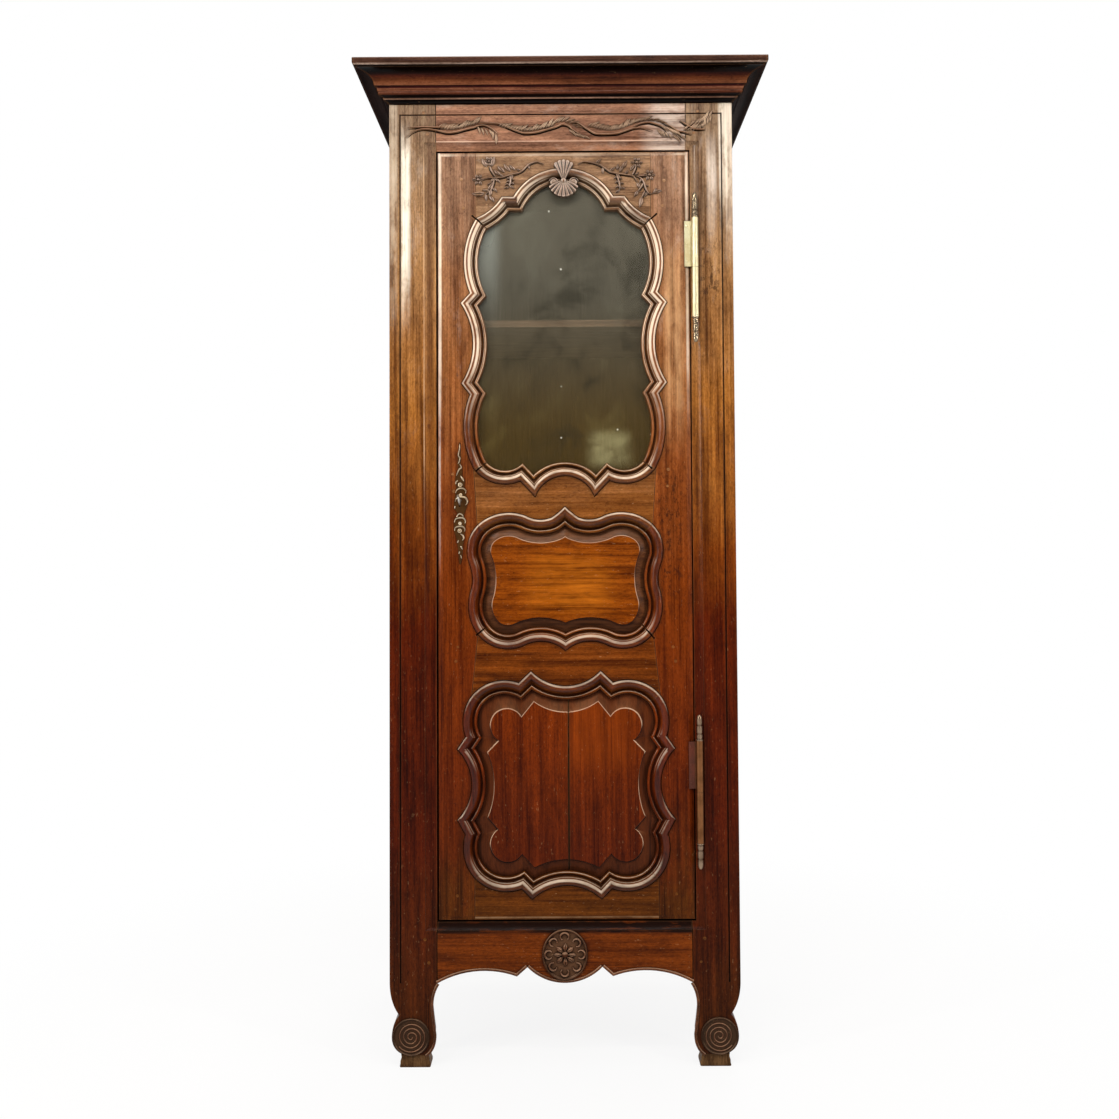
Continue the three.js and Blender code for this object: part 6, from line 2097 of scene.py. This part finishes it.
def make_key_plate():
    y = PLATE_BACK_Y
    left = [Vector((KEY_X - x, z)) for z, x, _ in PLATE_EDGE]
    right = [Vector((KEY_X + x, z)) for z, _, x in reversed(PLATE_EDGE)]
    ground = prism("ground", smooth_path(left, 3) + smooth_path(right, 3), y - PLATE_THICKNESS, y)
    ground = worked(ground, [("DIFFERENCE", key_hole(y - 10, y + 10))])
    placed(ground, "key_plate_ground", "door", PLATE_GROUND, ["escutcheon"], 40)
    face = y - PLATE_THICKNESS
    skins = []
    for rows, width in PLATE_STROKES:
        path = smooth_path([Vector((KEY_X + x, z)) for x, z in rows])
        skins.append(ridge(path, width, 2.0, face, blunt=0.4, sunk=0.3))
    for x, z, radius in PLATE_BOSSES:
        skins.append(ring_skin(KEY_X + x, face, z, radius, 2.2, 1.6))
        skins.append(dome_skin(KEY_X + x, face, z, radius * 0.5, 1.4))
    placed(gathered("scrolls", skins), "key_plate_scrolls", "door", PLATE_BRASS, angle=40)


def bow_skin():
    """The oval ring that the fingers turn."""
    rings = []
    for angle in round_steps(40):
        middle = Vector((0, BOW_BACK_Y - 13 + 11 * cos(angle), 9.5 * sin(angle)))
        out = Vector((0, cos(angle), sin(angle)))
        rings.append([
            middle + out * (BOW_BAR * cos(turn)) + Vector((BOW_BAR * 0.9 * sin(turn), 0, 0))
            for turn in round_steps(10)
        ])
    return loft(rings, looped=True)


def make_key():
    rows = [(radius, BOW_BACK_Y + along) for radius, along in COLLAR_ROWS]
    rows += [(2.9, KEY_TIP_Y - 0.6), (2.3, KEY_TIP_Y), (0, KEY_TIP_Y)]
    bit = loft(block(-1.2, 1.2, KEY_TIP_Y - 9, KEY_TIP_Y - 0.3, -12, 0, 0.3))
    key = gathered("key", [turned_skin(rows, 0, 0, 0, 20, "Y"), bow_skin(), bit])
    key.data.transform(Matrix.Rotation(-KEY_TILT, 4, "Y"))
    key.data.transform(Matrix.Translation(Vector((KEY_X, 0, KEY_Z)) * MM))
    placed(key, "key_steel", "key", STEEL, ["key"], 40)


# Solids that keep their shape and get a finish and softer edges


KEPT = {
    BACK_WOOD: [f"back_board_{place}" for place in ("left", "middle", "right")],
    INSIDE_SIDE_WOOD: [
        f"shelf_cleat_{level}_{side}" for level in ("upper", "middle", "lower") for side, _ in SIDES
    ],
    SHELF_WOOD: ["shelf_upper"],
    INSIDE_WOOD: [
        "shelf_middle", "shelf_lower", "floor_board", "top_board", "back_top_rail", "back_bottom_rail",
    ],
    SIDE_WOOD: [
        "rear_left_stile", "rear_right_stile", "side_upper_panel_left", "side_upper_panel_right",
        "side_lower_panel_left", "side_lower_panel_right", "glazing_bead",
    ],
    SIDE_RAIL_WOOD: [
        f"side_{level}_rail_{side}" for level in ("top", "middle", "bottom") for side, _ in SIDES
    ],
    STEEL: ["lock_case", "lock_bolt", "lock_keeper", "hinge_upper_pin", "hinge_lower_pin"],
}


def dress_solids():
    for finish, names in KEPT.items():
        for name in names:
            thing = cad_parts[name]
            for slot in thing.material_slots:
                slot.material = finish
            bevel = thing.modifiers.new("eased_edges", "BEVEL")
            bevel.width = (0.5 if finish is STEEL else 1.2) * MM
            bevel.segments = 2
            bevel.limit_method = "ANGLE"
            bevel.angle_limit = radians(40)
            bevel.harden_normals = False


# Camera, lights and floor


FLOOR_HALF = 9000
CAMERA_PLACE = (8.5, -2724.5, 1067.5)
CAMERA_LENS = 38.33
CAMERA_UP = radians(1.984)
CAMERA_LEFT = radians(0.148)
CAMERA_ROLL = radians(-0.311)
CAMERA_SHIFT = (-0.00356, -0.04396)


def make_camera():
    data = bpy.data.cameras.new("front_view")
    data.sensor_width = 36
    data.lens = CAMERA_LENS
    data.shift_x, data.shift_y = CAMERA_SHIFT
    data.clip_end = 60
    camera = in_scene("front_view", data)
    turn = Matrix.Rotation(CAMERA_LEFT, 4, "Z") @ Matrix.Rotation(pi / 2 + CAMERA_UP, 4, "X")
    turn = turn @ Matrix.Rotation(CAMERA_ROLL, 4, "Z")
    camera.matrix_world = Matrix.Translation(Vector(CAMERA_PLACE) * MM) @ turn
    bpy.context.scene.camera = camera


# Each with its place, what it looks at, its width and height, its power and its colour
LIGHTS = {
    "window_light": ((-1.5, -2.6, 3.1), (0, 0, 1.2), 0.4, 0.4, 20, (1.0, 0.97, 0.92)),
    "ceiling_strip": ((0.1, -1.75, 3.0), (0, -0.2, 1.0), 1.5, 0.16, 26, (1.0, 0.97, 0.94)),
    "left_strip": ((-2.0, -1.6, 1.7), (0, -0.2, 1.3), 0.09, 1.6, 20, (1.0, 0.97, 0.93)),
    "right_strip": ((2.0, -1.7, 1.7), (0, -0.2, 1.3), 0.09, 1.6, 18, (1.0, 0.97, 0.93)),
    "top_light": ((0, 0.4, 3.6), (0, 0, 0), 3.0, 3.0, 34, (1.0, 1.0, 1.0)),
    "back_light": ((0.6, 3.4, 2.4), (0, 0, 1.1), 2.4, 2.0, 44, (1.0, 0.98, 0.95)),
}


def make_lights():
    for name, (place, target, width, height, power, colour) in LIGHTS.items():
        data = bpy.data.lights.new(name, "AREA")
        data.shape = "RECTANGLE"
        data.size = width
        data.size_y = height
        data.energy = power
        data.color = colour
        lamp = in_scene(name, data)
        lamp.location = place
        lamp.rotation_euler = (Vector(target) - Vector(place)).to_track_quat("-Z", "Y").to_euler()


def make_world():
    """White behind the object, and dim and even round it."""
    world = bpy.data.worlds.new("studio")
    world.use_nodes = True
    tree = world.node_tree
    tree.nodes.clear()
    path = add_node(tree, "ShaderNodeLightPath", out="Is Camera Ray")
    _, back, up = add_node(tree, "ShaderNodeTexCoord", out="Generated").axes()
    shiny = path.other("Is Glossy Ray") * (back.between(-0.5, 0.1) * 0.8 + 0.2)
    shown = path.at_least(shiny.at_least(path.other("Is Transmission Ray")))
    sky = up.between(-0.3, 0.9) * 0.4 + 0.1
    strength = shown + (1 - shown) * sky
    light = add_node(tree, "ShaderNodeBackground", None, {"Color": WHITE, "Strength": strength})
    end_node("ShaderNodeOutputWorld", light)
    bpy.context.scene.world = world


def make_floor():
    mesh = bpy.data.meshes.new("floor")
    corners = [(-1, -1, 0), (1, -1, 0), (1, 1, 0), (-1, 1, 0)]
    mesh.from_pydata([Vector(corner) * FLOOR_HALF * MM for corner in corners], [], [(0, 1, 2, 3)])
    mesh.materials.append(pale_floor())
    in_scene("floor", mesh)


make_camera()
make_door_frame()
make_panels()
make_glazing()
opening_cut = doorway_cut()
line_cut = face_line_cut()
make_stiles(opening_cut, line_cut)
make_rails(opening_cut, line_cut)
forget(opening_cut, line_cut)
make_feet()
make_cornice()
make_hinges()
make_frieze()
make_branches()
make_shell()
make_medallion()
make_scrolls()
make_pegs()
make_key_plate()
make_key()
dress_solids()
make_lights()
make_world()
make_floor()

bpy.context.scene.view_settings.view_transform = "Standard"
